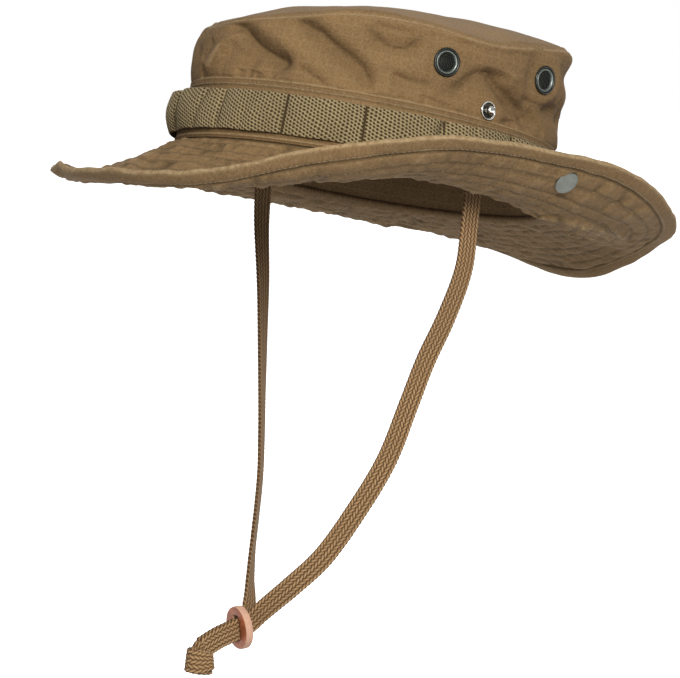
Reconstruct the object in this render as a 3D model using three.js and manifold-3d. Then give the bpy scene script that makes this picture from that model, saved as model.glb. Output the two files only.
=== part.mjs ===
// A bush (boonie) hat in its worn shape: soft crown, webbing of foliage loops, quilted brim, vents,
// snap fasteners and a chin lace with a leather slide. Millimetres and degrees, +Z up.
//
// The origin is the middle of the head opening. The hat is drawn level, then leans back by WEAR_TILT.
// The chin lace hangs straight down from it and isn't tilted. The wearer faces -Y.
//
// Angles go round the oval of the opening: 0 is the wearer's left (+X), 90 the back (+Y), 270 the front.
// A point of the hat is an angle, an "outset" from the oval, and a height over the brim seam.
import * as THREE from "three";
import { ParametricGeometry } from "three/addons/geometries/ParametricGeometry.js";
import { mergeVertices } from "three/addons/utils/BufferGeometryUtils.js";
import Module from "manifold-3d";

const wasm = await Module();
wasm.setup();

// ---- Driving dimensions ----
const OPENING_LENGTH = 204;
const OPENING_WIDTH = 170;
const WEAR_TILT = 12;
const GAP = 0.3;
const TURNS = 64; // facets round the hat

const WALL = 1.6; // crown cloth with its seam allowances
const HOLE_REACH = 6; // how far a fastener's hole is cut to each side of the cloth's face
const BRIM_WALL = 2.4; // two plies, quilted
const BAND_TOP = 31; // the double-stitched seam between lower band and crown side
const BAND_LEAN = 3.5; // how far that seam stands inside the opening's oval
const TIP_CENTER_HEIGHT = 84.5;
const TIP_BACK_RISE = 3.5; // its fullest place lies behind the middle
const TIP_FULLNESS = 2.5; // how late the tip falls off towards its edge

const WEBBING = { wall: 1.4, bottom: 5, top: 25 };
const LOOP_COUNT = 15;
const LOOP_START = -85; // one bar tack stands here
const LOOP_SLACK = 0.9; // how far a loop bows out between its tacks
const SLACK_LOOP = { angle: -115, half: 30, more: 3.2 }; // the loop that hangs loose

const TUCK_SHARE = 0.78;
const HEM_WIDTH = 7.6; // along the cloth
const HEM_SWELL = 0.5; // the turned hem is this much thicker than the brim, on each face
const HEM_ROWS = [0.02, 0.5, 0.95]; // places across the hem, from its inner line to the edge

const VENT = { outer: 7.2, flange: 1.3, hole: 4.6, barrel: 4.2, screenDepth: 0.5 };
// turn: how far a vent and the cloth round it face forward of the crown there
const VENT_PLACES = [
  { name: "vent_left_front", angle: -15, height: 54, turn: 0 },
  { name: "vent_left_back", angle: 26, height: 60, turn: 14 },
  { name: "vent_right_front", angle: 195, height: 54, turn: 0 },
  { name: "vent_right_back", angle: 154, height: 60, turn: -10 },
];
const FLAT_RADIUS = 11; // cloth this near a vent or stud is held flat
const STUD = { radius: 4.7, base: 1.1, ball: 1.9, height: 4.2 };
const STUD_PLACES = [
  { name: "snap_stud_left", angle: 1.5, height: 36 },
  { name: "snap_stud_right", angle: 178.5, height: 36 },
];
const SNAP = { cap: 6.2, dome: 1.7, post: 1.8, hole: 2.2, socket: 5, socketHeight: 2.2, bore: 2.4 };
const SNAP_CLEARANCE = 0.5; // more than GAP, because the brim curves up round the socket
const SNAP_PLACES = [
  { name: "brim_snap_left", angle: 7, share: 0.81 },
  { name: "brim_snap_right", angle: 173, share: 0.81 },
];

const LACE = { width: 10, thickness: 2, edge: 1.2, steps: 40 }; // edge: how far its edges taper
const SLIDE = { radius: 10.7, thickness: 4, slotWidth: 6.4, slotHeight: 12.6 };
const SLIDE_PLACE = { at: [-0.2, -79.4, -218.6], lean: 7, turn: -10 };
const KNOT_POCKET = { at: [0, -97.4, -224.5], slope: 22, length: 13, width: 5.4, spare: 0.8 };
const KNOT = { at: [0, -104.6, -233.6], width: 16, depth: 10, height: 15.5 };

// ---- Tables round the hat: one row every 22.5 degrees, from the left over the back ----
// reach: from the oval to the brim's edge. rise: of that edge over the seam. dip: how far the cloth
// between them sinks under a plain curve. tuck: how much further it sinks just inside the hem.
const BRIM = [
  { reach: 54.5, rise: 16.6, dip: 9.5, tuck: 0 },
  { reach: 57.5, rise: 16.4, dip: 11.5, tuck: 0 },
  { reach: 61.8, rise: 7, dip: 7, tuck: 0 },
  { reach: 62.1, rise: -2, dip: 5, tuck: 0 },
  { reach: 56.0, rise: -20, dip: 3, tuck: 0 },
  { reach: 60.0, rise: -8, dip: 4, tuck: 1 },
  { reach: 60.7, rise: 5, dip: 6, tuck: 1 },
  { reach: 59.3, rise: 12, dip: 8, tuck: 1 },
  { reach: 59.0, rise: 8, dip: 8, tuck: 2 },
  { reach: 59.5, rise: -12, dip: 4.2, tuck: 2.5 },
  { reach: 58.5, rise: -15.5, dip: 10.1, tuck: 4.5 },
  { reach: 57.5, rise: -25.3, dip: 11.2, tuck: 2.9 },
  { reach: 55.3, rise: -26.4, dip: 8.4, tuck: 7.5 },
  { reach: 56.6, rise: -23.3, dip: 10.5, tuck: 7.5 },
  { reach: 59.4, rise: -5, dip: 11.4, tuck: 6.4 },
  { reach: 57.0, rise: 11.2, dip: 8.5, tuck: 2 },
];
// top: height of the seam round the tip. belly: outset of the crown side halfway up. lip: its outset
// at that seam.
const CROWN = [
  { top: 68, belly: -4.0, lip: -3.0 },
  { top: 74, belly: -4.0, lip: -3.0 },
  { top: 80, belly: -1.8, lip: -1.0 },
  { top: 80, belly: -2.5, lip: -1.6 },
  { top: 79, belly: -4.5, lip: -3.5 },
  { top: 78, belly: -4.5, lip: -3.5 },
  { top: 77, belly: -4.0, lip: -3.5 },
  { top: 74, belly: -4.0, lip: -3.0 },
  { top: 70, belly: -4.0, lip: -3.0 },
  { top: 68, belly: -3.5, lip: -3.0 },
  { top: 64, belly: -2.0, lip: -4.0 },
  { top: 59, belly: -1.0, lip: -5.0 },
  { top: 60, belly: -2.5, lip: -5.0 },
  { top: 62.5, belly: -3.5, lip: -4.0 },
  { top: 68, belly: -4.0, lip: -3.0 },
  { top: 69.5, belly: -4.0, lip: -3.0 },
];
// Folds of the crown side: each runs from one place to another and presses the cloth in by depth
// (a negative depth is a ridge), fading over width on either side.
const FOLDS = [
  { angle: -87, height: 57, toAngle: -65, toHeight: 40, depth: 3.2, width: 5 },
  { angle: -60, height: 60, toAngle: -37, toHeight: 38, depth: 2.8, width: 5 },
  { angle: -76, height: 57, toAngle: -52, toHeight: 40, depth: -1.2, width: 5 },
  { angle: -36, height: 56, toAngle: -26, toHeight: 57, depth: 2.0, width: 5 },
  { angle: -31, height: 43, toAngle: -25, toHeight: 36, depth: 1.4, width: 4 },
  { angle: -13, height: 40, toAngle: -5, toHeight: 45, depth: 1.5, width: 5 },
  { angle: 6, height: 45, toAngle: 24, toHeight: 37, depth: 2.6, width: 5 },
  { angle: 32, height: 47, toAngle: 52, toHeight: 46, depth: 2.6, width: 5 },
  { angle: -99, height: 39, toAngle: -87, toHeight: 52, depth: -1.2, width: 4 },
  { angle: -10, height: 67, toAngle: 14, toHeight: 68, depth: 1.6, width: 5 },
  { angle: 40, height: 68, toAngle: 62, toHeight: 69, depth: 3.0, width: 6 },
  { angle: 118, height: 70, toAngle: 100, toHeight: 44, depth: 2.4, width: 6 },
  { angle: 150, height: 66, toAngle: 166, toHeight: 42, depth: 2.2, width: 6 },
  { angle: 205, height: 60, toAngle: 222, toHeight: 40, depth: 2.4, width: 6 },
];

// ---- Shape functions ----
const RADIANS = Math.PI / 180;

// A column of a table at any angle: a smooth curve through the rows, closed on itself.
function column(table, name, angle) {
  const place = ((((angle % 360) + 360) % 360) / 360) * table.length;
  const row = Math.floor(place);
  const t = place - row;
  const at = (offset) => table[(row + offset + table.length) % table.length][name];
  const [a, b, c, d] = [at(-1), at(0), at(1), at(2)];
  return b + 0.5 * t * (c - a + t * (2 * a - 5 * b + 4 * c - d + t * (3 * (b - c) + d - a)));
}

function smoothstep(x) {
  const t = Math.min(Math.max(x, 0), 1);
  return t * t * (3 - 2 * t);
}

// The point at an angle, an outset from the opening's oval and a height.
function hatPoint(angle, outset, height) {
  const x = Math.cos(angle * RADIANS);
  const y = Math.sin(angle * RADIANS);
  const outward = new THREE.Vector2(x / OPENING_WIDTH, y / OPENING_LENGTH).normalize();
  return new THREE.Vector3(
    (x * OPENING_WIDTH) / 2 + outward.x * outset,
    (y * OPENING_LENGTH) / 2 + outward.y * outset,
    height,
  );
}

// From one place on the crown side to another, in millimetres along the cloth.
function clothStep(from, angle, height) {
  const mmPerDegree = ((OPENING_LENGTH + OPENING_WIDTH) / 4) * RADIANS;
  const across = ((angle - from.angle + 900) % 360) - 180;
  return new THREE.Vector2(across * mmPerDegree, height - from.height);
}

// How deep the folds press the crown side in at a place. Vents and studs hold the cloth flat.
function foldDepth(angle, height) {
  let depth = 0;
  for (const fold of FOLDS) {
    const place = clothStep(fold, angle, height);
    const run = clothStep(fold, fold.toAngle, fold.toHeight);
    const along = Math.min(Math.max(place.dot(run) / run.lengthSq(), 0), 1);
    const off = place.sub(run.multiplyScalar(along)).length() / fold.width;
    depth += fold.depth * Math.exp(-off * off);
  }
  for (const fastener of [...VENT_PLACES, ...STUD_PLACES]) {
    depth *= smoothstep(clothStep(fastener, angle, height).length() / FLAT_RADIUS - 0.6);
  }
  return depth;
}

// How far the cloth round a turned vent stands out.
function ventTurn(angle, height) {
  let lift = 0;
  for (const place of VENT_PLACES) {
    const step = clothStep(place, angle, height);
    const near = 1 - smoothstep(step.length() / FLAT_RADIUS - 0.8);
    lift += near * step.x * Math.tan(place.turn * RADIANS);
  }
  return lift;
}

function bandOutset(height) {
  return -BAND_LEAN * smoothstep(height / BAND_TOP);
}

// Outset of the crown side's outer face. It bellies between its two seams, and the folds fade there.
function crownOutset(angle, height) {
  const top = column(CROWN, "top", angle);
  const t = (height - BAND_TOP) / (top - BAND_TOP);
  const lip = column(CROWN, "lip", angle);
  const straight = -BAND_LEAN + (lip + BAND_LEAN) * t;
  const middle = (lip - BAND_LEAN) / 2;
  const belly = (column(CROWN, "belly", angle) - middle) * Math.sin(Math.PI * t);
  const free = smoothstep(t / 0.15) * smoothstep((1 - t) / 0.1);
  return straight + belly + ventTurn(angle, height) - foldDepth(angle, height) * free;
}

// The brim's middle line: share 0 at the crown, 1 at the edge. The dip is deepest halfway, the tuck
// at TUCK_SHARE.
function brimLine(angle, share) {
  const late = share ** (Math.log(0.5) / Math.log(TUCK_SHARE));
  const rise = column(BRIM, "rise", angle) * share * share;
  const dip = column(BRIM, "dip", angle) * 4 * share * (1 - share);
  const tuck = column(BRIM, "tuck", angle) * 4 * late * (1 - late);
  return new THREE.Vector2(column(BRIM, "reach", angle) * share, rise - dip - tuck);
}

function brimNormal(angle, share) {
  const step = 0.01;
  const from = Math.max(share - step, 0);
  const along = brimLine(angle, share + step).sub(brimLine(angle, from));
  return new THREE.Vector2(-along.y, along.x).normalize();
}

// A place on the brim, raised from its middle line by lift.
function brimPlace(angle, share, lift) {
  const line = brimLine(angle, share);
  const normal = brimNormal(angle, share);
  return line.addScaledVector(normal, lift);
}

// ---- Solids ----

// A ring of cloth: section(angle) is its closed cross-section, a list of (outset, height) that runs
// anticlockwise when outset points right and height up.
function clothRing(section, turns = TURNS) {
  const rows = section(0).length;
  return new ParametricGeometry(
    (u, v, target) => {
      const place = section(u * 360)[Math.round(v * rows) % rows];
      target.copy(hatPoint(u * 360, place.x, place.y));
    },
    turns,
    rows,
  );
}

function shares(count, from = 0, to = 1) {
  return Array.from({ length: count + 1 }, (_, i) => from + ((to - from) * i) / count);
}

// Up the outer face, then down the inner face at a wall's thickness.
function wallSection(outer, wall) {
  const inner = outer.map((place) => new THREE.Vector2(place.x - wall, place.y));
  return [...outer, ...inner.reverse()];
}

function lowerBand() {
  const bottom = BRIM_WALL / 2 + GAP;
  const heights = shares(2, bottom, BAND_TOP - GAP);
  return clothRing(() => wallSection(heights.map((h) => new THREE.Vector2(bandOutset(h), h)), WALL));
}

function crownSide() {
  return clothRing((angle) => {
    const top = column(CROWN, "top", angle);
    const outer = shares(6, BAND_TOP, top).map(
      (h) => new THREE.Vector2(crownOutset(angle, h), h),
    );
    return wallSection(outer, WALL);
  });
}

// The tip is a shallow dome. Rows run from the middle along its under face, round its edge, and back
// over the top.
function crownTip() {
  const steps = shares(5);
  const rows = 2 * steps.length - 1;
  const height = (angle, share) => {
    const edge = column(CROWN, "top", angle) + GAP;
    const back = TIP_BACK_RISE * Math.sin(angle * RADIANS) * 4 * share * (1 - share);
    return TIP_CENTER_HEIGHT + (edge - TIP_CENTER_HEIGHT) * share ** TIP_FULLNESS + back;
  };
  return new ParametricGeometry(
    (u, v, target) => {
      const row = Math.round(v * rows);
      const share = row < steps.length ? steps[row] : steps[rows - row];
      const rim = hatPoint(u * 360, column(CROWN, "lip", u * 360), 0);
      const lift = row < steps.length ? 0 : WALL;
      target.set(rim.x * share, rim.y * share, height(u * 360, share) + lift);
    },
    TURNS,
    rows,
  );
}

// The webbing lies on the band at each bar tack and bows out between two tacks.
function foliageBand() {
  const bow = (angle) => {
    const loop = (angle - LOOP_START) * (LOOP_COUNT / 360);
    const slack = Math.abs(Math.sin(Math.PI * loop)) ** 0.7 * LOOP_SLACK;
    const away = (((angle - SLACK_LOOP.angle + 540) % 360) - 180) / SLACK_LOOP.half;
    return slack + SLACK_LOOP.more * smoothstep(1 - Math.abs(away));
  };
  return clothRing((angle) => {
    const outer = shares(2).map((t) => {
      const height = WEBBING.bottom + (WEBBING.top - WEBBING.bottom) * t;
      const away = GAP + WEBBING.wall + bow(angle) * (0.6 + 0.8 * t);
      return new THREE.Vector2(bandOutset(height) + away, height);
    });
    return wallSection(outer, WEBBING.wall);
  }, 6 * LOOP_COUNT);
}

// Along the underside from the crown to the edge, and back over the top face. The hem is thicker.
function brim() {
  const start = -WALL;
  const nearEdge = 0.1; // the hem's slant is measured over this share of the brim
  const rows = shares(4);
  return clothRing((angle) => {
    const slant = brimLine(angle, 1).distanceTo(brimLine(angle, 1 - nearEdge)) / nearEdge;
    const hemStart = 1 - HEM_WIDTH / slant;
    const lift = (share) => BRIM_WALL / 2 + HEM_SWELL * smoothstep((share - hemStart) / 0.03);
    const hem = HEM_ROWS.map((t) => hemStart + t * (1 - hemStart));
    const places = [...rows.map((t) => t * hemStart), ...hem];
    const top = places.map((s) => brimPlace(angle, s, lift(s)));
    const under = places.map((s) => brimPlace(angle, s, -lift(s)));
    const inner = [-1, 1].map((face) => new THREE.Vector2(start, (face * BRIM_WALL) / 2));
    return [inner[0], ...under, brimLine(angle, 1), ...top.reverse(), inner[1]];
  });
}

// A mesh as a manifold solid, and back.
function solid(geometry) {
  const bare = geometry.clone();
  bare.deleteAttribute("normal");
  bare.deleteAttribute("uv");
  const merged = mergeVertices(bare, 1e-4);
  const mesh = new wasm.Mesh({
    numProp: 3,
    vertProperties: new Float32Array(merged.attributes.position.array),
    triVerts: new Uint32Array(merged.index.array),
  });
  return new wasm.Manifold(mesh);
}

function geometryOf(manifold) {
  const mesh = manifold.getMesh();
  const geometry = new THREE.BufferGeometry();
  geometry.setAttribute("position", new THREE.BufferAttribute(mesh.vertProperties, 3));
  geometry.setIndex(new THREE.BufferAttribute(mesh.triVerts, 1));
  geometry.computeVertexNormals();
  return geometry;
}

// A frame whose +Z leaves a surface: surface(a, b) is a point, and the steps are small moves on it.
function surfaceFrame(surface, a, b, stepA, stepB) {
  const point = surface(a, b);
  const alongA = surface(a + stepA, b).sub(surface(a - stepA, b)).normalize();
  const alongB = surface(a, b + stepB).sub(surface(a, b - stepB)).normalize();
  const out = new THREE.Vector3().crossVectors(alongA, alongB).normalize();
  const side = new THREE.Vector3().crossVectors(alongB, out);
  return new THREE.Matrix4().makeBasis(side, alongB, out).setPosition(point);
}

function crownFrame({ angle, height }) {
  const face = (a, h) => hatPoint(a, crownOutset(a, h), h);
  return surfaceFrame(face, angle, height, 2, 2);
}

// On the brim's middle line, with +Z up through its top face.
function brimFrame({ angle, share }) {
  const face = (s, a) => {
    const place = brimLine(a, s);
    return hatPoint(a, place.x, place.y);
  };
  return surfaceFrame(face, share, angle, 0.02, 1);
}

// A turned piece from (radius, height) pairs, standing on +Z.
function turned(profile, facets = 16) {
  const points = profile.map(([radius, height]) => new THREE.Vector2(radius, height));
  return new THREE.LatheGeometry(points, facets).rotateX(Math.PI / 2);
}

function hole(radius, depth) {
  return turned([[0, -depth], [radius, -depth], [radius, depth], [0, depth]]);
}

function cutHoles(geometry, frames, radius) {
  let body = solid(geometry);
  for (const frame of frames) {
    body = body.subtract(solid(hole(radius, HOLE_REACH).applyMatrix4(frame)));
  }
  return geometryOf(body);
}

// A screened eyelet: a rolled flange on the cloth, a barrel through it, and a screen across.
function vent() {
  const { outer, flange, barrel, screenDepth } = VENT;
  return turned([
    [0, -WALL],
    [barrel, -WALL],
    [barrel, GAP],
    [outer - 0.5, GAP],
    [outer, GAP + 0.5],
    [outer - 1.2, flange],
    [barrel, flange - 0.3],
    [barrel - 0.5, -screenDepth],
    [0, -screenDepth],
  ]);
}

function snapStud() {
  const { radius, base, ball, height } = STUD;
  return turned([
    [0, GAP],
    [radius, GAP],
    [radius, base],
    [radius - 0.9, base + 0.3],
    [ball + 0.7, base - 0.1],
    [ball - 0.4, base + 0.4],
    [ball, height - 1.2],
    [ball * 0.6, height - 0.2],
    [0, height],
  ]);
}

// Cap under the brim, post through it, and on top a socket that takes the crown's stud.
function brimSnap() {
  const { cap, dome, post, socket, socketHeight, bore } = SNAP;
  const face = BRIM_WALL / 2 + GAP;
  const seat = face + SNAP_CLEARANCE;
  return turned([
    [0, -face - dome],
    [cap * 0.7, -face - dome * 0.8],
    [cap, -face - dome * 0.3],
    [cap, -face],
    [post, -face],
    [post, seat],
    [socket, seat],
    [socket, seat + socketHeight * 0.7],
    [bore + 0.8, seat + socketHeight],
    [bore, seat + socketHeight],
    [bore, seat + 0.6],
    [0, seat + 0.6],
  ]);
}

// ---- Chin lace, not tilted: flat braid that hangs from inside the band ----
// Each row is a place on the lace's middle line and the compass angle that its face looks to,
// 0 towards +X, 270 towards the front.
const LACE_LEFT = [
  { x: 80.6, y: 1.5, z: 9, faces: 0 },
  { x: 81.2, y: 0.5, z: -6, faces: 0 },
  { x: 81.0, y: -1.2, z: -20, faces: 0 },
  { x: 79.0, y: -3, z: -42, faces: -4 },
  { x: 72.7, y: -9, z: -66, faces: -10 },
  { x: 65.7, y: -15.7, z: -86.6, faces: -14 },
  { x: 59.8, y: -21.5, z: -108, faces: -18 },
  { x: 51.6, y: -29, z: -136, faces: -24 },
  { x: 41, y: -39.5, z: -161, faces: -28 },
  { x: 29, y: -51, z: -184, faces: -30 },
  { x: 17.5, y: -61.5, z: -198.5, faces: -28 },
  { x: 6.5, y: -69.5, z: -210, faces: -16 },
  { x: 1.5, y: -74.5, z: -216.6, faces: -2 },
  { x: 1.3, y: -83, z: -219.6, faces: 0 },
  { x: 1.3, y: -93, z: -222.6, faces: 0 },
  { x: 1.3, y: -103, z: -226.8, faces: 0 },
];
const LACE_RIGHT = [
  { x: -80.6, y: 1.5, z: 9, faces: 0 },
  { x: -81.2, y: 0.5, z: -6, faces: 0 },
  { x: -80, y: -1.5, z: -22, faces: 6 },
  { x: -71.5, y: -7.5, z: -52, faces: 14 },
  { x: -60, y: -17, z: -79, faces: 22 },
  { x: -48, y: -27, z: -105, faces: 28 },
  { x: -36, y: -37, z: -129, faces: 31 },
  { x: -29, y: -43.4, z: -147, faces: 31 },
  { x: -22.2, y: -51, z: -164, faces: 28 },
  { x: -15.5, y: -58.8, z: -180, faces: 24 },
  { x: -9.5, y: -65.2, z: -195, faces: 17 },
  { x: -4.5, y: -69.8, z: -207.5, faces: 8 },
  { x: -1.5, y: -74.5, z: -216.4, faces: 2 },
  { x: -1.3, y: -83, z: -219.6, faces: 0 },
  { x: -1.3, y: -93, z: -222.6, faces: 0 },
  { x: -1.3, y: -103, z: -226.8, faces: 0 },
];

// A curve whose frames keep the lace's face towards the compass angle of its rows.
class LacePath extends THREE.CatmullRomCurve3 {
  constructor(rows) {
    super(rows.map(({ x, y, z }) => new THREE.Vector3(x, y, z)), false, "centripetal");
    this.rows = rows;
  }

  computeFrenetFrames(steps) {
    const tangents = [];
    const normals = [];
    const binormals = [];
    for (const u of shares(steps)) {
      const tangent = this.getTangentAt(u);
      const place = this.getUtoTmapping(u) * (this.rows.length - 1);
      const row = Math.min(Math.floor(place), this.rows.length - 2);
      const turn = THREE.MathUtils.lerp(this.rows[row].faces, this.rows[row + 1].faces, place - row);
      const face = new THREE.Vector3(Math.cos(turn * RADIANS), Math.sin(turn * RADIANS), 0);
      const across = new THREE.Vector3().crossVectors(tangent, face).normalize();
      tangents.push(tangent);
      binormals.push(across);
      normals.push(new THREE.Vector3().crossVectors(across, tangent).normalize());
    }
    return { tangents, normals, binormals };
  }
}

function lace(rows) {
  const path = new LacePath(rows);
  const edge = LACE.width / 2;
  const flat = edge - LACE.edge;
  const face = LACE.thickness / 2;
  const nose = face * 0.4;
  const corners = [
    [face, flat], [nose, edge], [-nose, edge], [-face, flat],
    [-face, -flat], [-nose, -edge], [nose, -edge], [face, -flat],
  ];
  const section = new THREE.Shape(corners.map(([x, y]) => new THREE.Vector2(x, y)));
  return new THREE.ExtrudeGeometry(section, {
    steps: LACE.steps,
    extrudePath: path,
    bevelEnabled: false,
  });
}

// A leather disc, its face to the front, with one slot for both laces.
function slideFrame() {
  return new THREE.Matrix4()
    .makeRotationZ(SLIDE_PLACE.turn * RADIANS)
    .multiply(new THREE.Matrix4().makeRotationX((90 + SLIDE_PLACE.lean) * RADIANS))
    .setPosition(...SLIDE_PLACE.at);
}

function cordSlide() {
  const half = SLIDE.thickness / 2;
  const disc = turned([
    [0, -half],
    [SLIDE.radius - 0.8, -half],
    [SLIDE.radius, -half * 0.4],
    [SLIDE.radius, half * 0.4],
    [SLIDE.radius - 0.8, half],
    [0, half],
  ], 24);
  const slot = new THREE.BoxGeometry(SLIDE.slotWidth, SLIDE.slotHeight, 3 * SLIDE.thickness);
  return geometryOf(solid(disc).subtract(solid(slot))).applyMatrix4(slideFrame());
}

// The two laces' ends wrapped into one knot, with a pocket where the laces run in.
function laceKnot() {
  const { width, depth, height } = KNOT;
  const outline = [
    [0, -0.5],
    [0.34, -0.46],
    [0.5, -0.2],
    [0.46, 0.1],
    [0.5, 0.36],
    [0.36, 0.5],
    [0, 0.5],
  ].map(([radius, level]) => [radius * width, level * height]);
  const body = turned(outline, 12);
  body.scale(depth / width, 1, 1).translate(...KNOT.at);
  const { at, slope, length, width: across, spare } = KNOT_POCKET;
  const pocket = new THREE.BoxGeometry(across, length, LACE.width + spare);
  pocket.rotateX(slope * RADIANS).translate(...at);
  return geometryOf(solid(body).subtract(solid(pocket)));
}

// ---- Materials ----
function cloth(color) {
  return new THREE.MeshStandardMaterial({ color, roughness: 0.95, metalness: 0 });
}

const CANVAS = 0x8a6e4b;
const materials = {
  canvas: () => cloth(CANVAS),
  webbing: () => cloth(0x857456),
  braid: () => cloth(0x8c7250),
  leather: () => new THREE.MeshStandardMaterial({ color: 0x96553a, roughness: 0.6 }),
  blackMetal: () => new THREE.MeshStandardMaterial({ color: 0x24261f, roughness: 0.4, metalness: 0.6 }),
  chrome: () => new THREE.MeshStandardMaterial({ color: 0xc8c8c4, roughness: 0.15, metalness: 1 }),
  brushed: () => new THREE.MeshStandardMaterial({ color: 0x8f918a, roughness: 0.4, metalness: 1 }),
};

// ---- Assembly ----
function piece(name, geometry, material, frame) {
  const mesh = new THREE.Mesh(geometry, material());
  mesh.name = name;
  if (frame) {
    frame.decompose(mesh.position, mesh.quaternion, mesh.scale);
  }
  return mesh;
}

const ventFrames = VENT_PLACES.map(crownFrame);
const snapFrames = SNAP_PLACES.map(brimFrame);

const hat = new THREE.Group();
hat.rotation.x = -WEAR_TILT * RADIANS;
hat.add(piece("crown_tip", crownTip(), materials.canvas));
hat.add(piece("crown_side", cutHoles(crownSide(), ventFrames, VENT.hole), materials.canvas));
hat.add(piece("lower_band", lowerBand(), materials.canvas));
hat.add(piece("foliage_band", foliageBand(), materials.webbing));
hat.add(piece("brim", cutHoles(brim(), snapFrames, SNAP.hole), materials.canvas));
VENT_PLACES.forEach(({ name }, i) => {
  hat.add(piece(name, vent(), materials.blackMetal, ventFrames[i]));
});
STUD_PLACES.forEach((place) => {
  hat.add(piece(place.name, snapStud(), materials.chrome, crownFrame(place)));
});
SNAP_PLACES.forEach(({ name }, i) => {
  hat.add(piece(name, brimSnap(), materials.brushed, snapFrames[i]));
});

const part = new THREE.Group();
part.add(hat);
part.add(piece("chin_lace_left", lace(LACE_LEFT), materials.braid));
part.add(piece("chin_lace_right", lace(LACE_RIGHT), materials.braid));
part.add(piece("cord_slide", cordSlide(), materials.leather));
part.add(piece("lace_knot", laceKnot(), materials.braid));

export default part;
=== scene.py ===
"""Bush hat: soft crown, webbing loops, quilted brim, vents, snaps and a braided chin lace.

Shapes are worked out in millimetres on the level hat, where an angle goes round the oval of the head
opening (0 the wearer's left, 90 the back, 270 the front), an outset leaves that oval and a height stands
over the brim seam. worn() then leans the hat back and turns millimetres into metres.
"""

import math

import bpy
import numpy as np
from bpy.props import FloatProperty, FloatVectorProperty, IntProperty, PointerProperty
from bpy.types import Operator, Panel, PropertyGroup
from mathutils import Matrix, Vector


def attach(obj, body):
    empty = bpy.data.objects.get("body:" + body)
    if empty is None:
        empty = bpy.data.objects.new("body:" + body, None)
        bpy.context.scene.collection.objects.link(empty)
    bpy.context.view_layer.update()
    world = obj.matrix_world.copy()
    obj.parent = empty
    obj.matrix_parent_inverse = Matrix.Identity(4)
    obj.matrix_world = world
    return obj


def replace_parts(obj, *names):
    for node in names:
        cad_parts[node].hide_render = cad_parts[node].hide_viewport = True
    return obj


bl_info = {
    "name": "Bush Hat",
    "version": (1, 0, 0),
    "blender": (4, 5, 0),
    "location": "3D View > Sidebar > Bush Hat",
    "description": "Builds a soft bush hat with webbing loops, vents, snaps and a chin lace",
    "category": "Add Mesh",
}

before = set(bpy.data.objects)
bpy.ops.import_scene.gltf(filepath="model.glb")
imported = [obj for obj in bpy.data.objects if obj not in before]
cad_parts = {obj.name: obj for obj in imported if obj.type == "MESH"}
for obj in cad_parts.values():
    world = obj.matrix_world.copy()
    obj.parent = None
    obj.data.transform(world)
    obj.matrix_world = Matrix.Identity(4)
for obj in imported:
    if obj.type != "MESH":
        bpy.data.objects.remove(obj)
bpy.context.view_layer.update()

MM = 0.001
# Points round each ring of the crown and brim, the band, the webbing, turned metal, and the slide.
ROUND = {"cloth": 720, "band": 420, "webbing": 1500, "metal": 64, "slide": 160}
LENGTH, WIDTH, TILT = 204.0, 170.0, 12.0
ARC = (LENGTH + WIDTH) / 4 * math.pi / 180  # millimetres of cloth per degree round the opening
GAP = 0.3
WALL, BRIM_WALL = 1.6, 2.4
BAND_TOP, BAND_LEAN = 31.0, 3.5
# Heights on the lower band: where it is doubled, its row of stitches, and its ridges and grooves.
BAND_DOUBLED, BAND_STITCH, BAND_FOOT = 27.8, 28.6, 2.5
BAND_RIDGES, BAND_GROOVES = (BAND_TOP, 28.2, 2.6), (27.4, 30.1, 3.9, 1.7)
TIP_CENTER, TIP_BACK_RISE, TIP_FULLNESS = 84.5, 3.5, 2.5
WEBBING = {"wall": 1.4, "bottom": 5.0, "top": 25.0}
# In metres, for the shaders: half sizes of the webbing's gaps, and one cell of the canvas's ripstop.
GAP_WIDE, GAP_TALL, RIPSTOP = 0.00052, 0.0006, 0.0052
LOOPS, LOOP_START, LOOP_SLACK = 15, -85.0, 1.9
SLACK_LOOP = {"angle": -115.0, "half": 30.0, "more": 3.2}
TUCK_SHARE, HEM_WIDTH = 0.78, 7.6
HEM_STITCH = 1.3  # from the hem's inner line to its row of stitches
HEM_ROWS = np.array([0, 0.04, 0.09, 0.14, 0.2, 0.32, 0.48, 0.64, 0.8, 0.91, 0.97])[:, None]
NOSE = 1.004  # share of the brim's very edge
TIP_REACH = 88.0  # from the tip's middle to its edge, for the rows along its seam
TIP_STITCH = 3.0  # from the tip's edge to the groove of its topstitching, which has no thread in it

# One row every 22.5 degrees: reach, rise, dip and tuck of the brim.
BRIM = np.array([
    [54.5, 16.6, 9.5, 0], [57.5, 16.4, 11.5, 0], [61.8, 7, 7, 0], [62.1, -2, 5, 0],
    [56.0, -20, 3, 0], [60.0, -8, 4, 1], [60.7, 5, 6, 1], [59.3, 12, 8, 1],
    [59.0, 8, 8, 2], [59.5, -12, 4.2, 2.5], [58.5, -15.5, 10.1, 4.5], [57.5, -25.3, 11.2, 2.9],
    [55.3, -26.4, 8.4, 7.5], [56.6, -23.3, 10.5, 7.5], [59.4, -5, 11.4, 6.4], [57.0, 11.2, 8.5, 2],
])
# Height of the seam round the tip, outset of the crown side halfway up, and outset at that seam.
CROWN = np.array([
    [68, -4.0, -3.0], [74, -4.0, -3.0], [80, -1.8, -1.0], [80, -2.5, -1.6],
    [79, -4.5, -3.5], [78, -4.5, -3.5], [77, -4.0, -3.5], [74, -4.0, -3.0],
    [70, -4.0, -3.0], [68, -3.5, -3.0], [64, -2.0, -4.0], [59, -1.0, -5.0],
    [60, -2.5, -5.0], [62.5, -3.5, -4.0], [68, -4.0, -3.0], [69.5, -4.0, -3.0],
])
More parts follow.
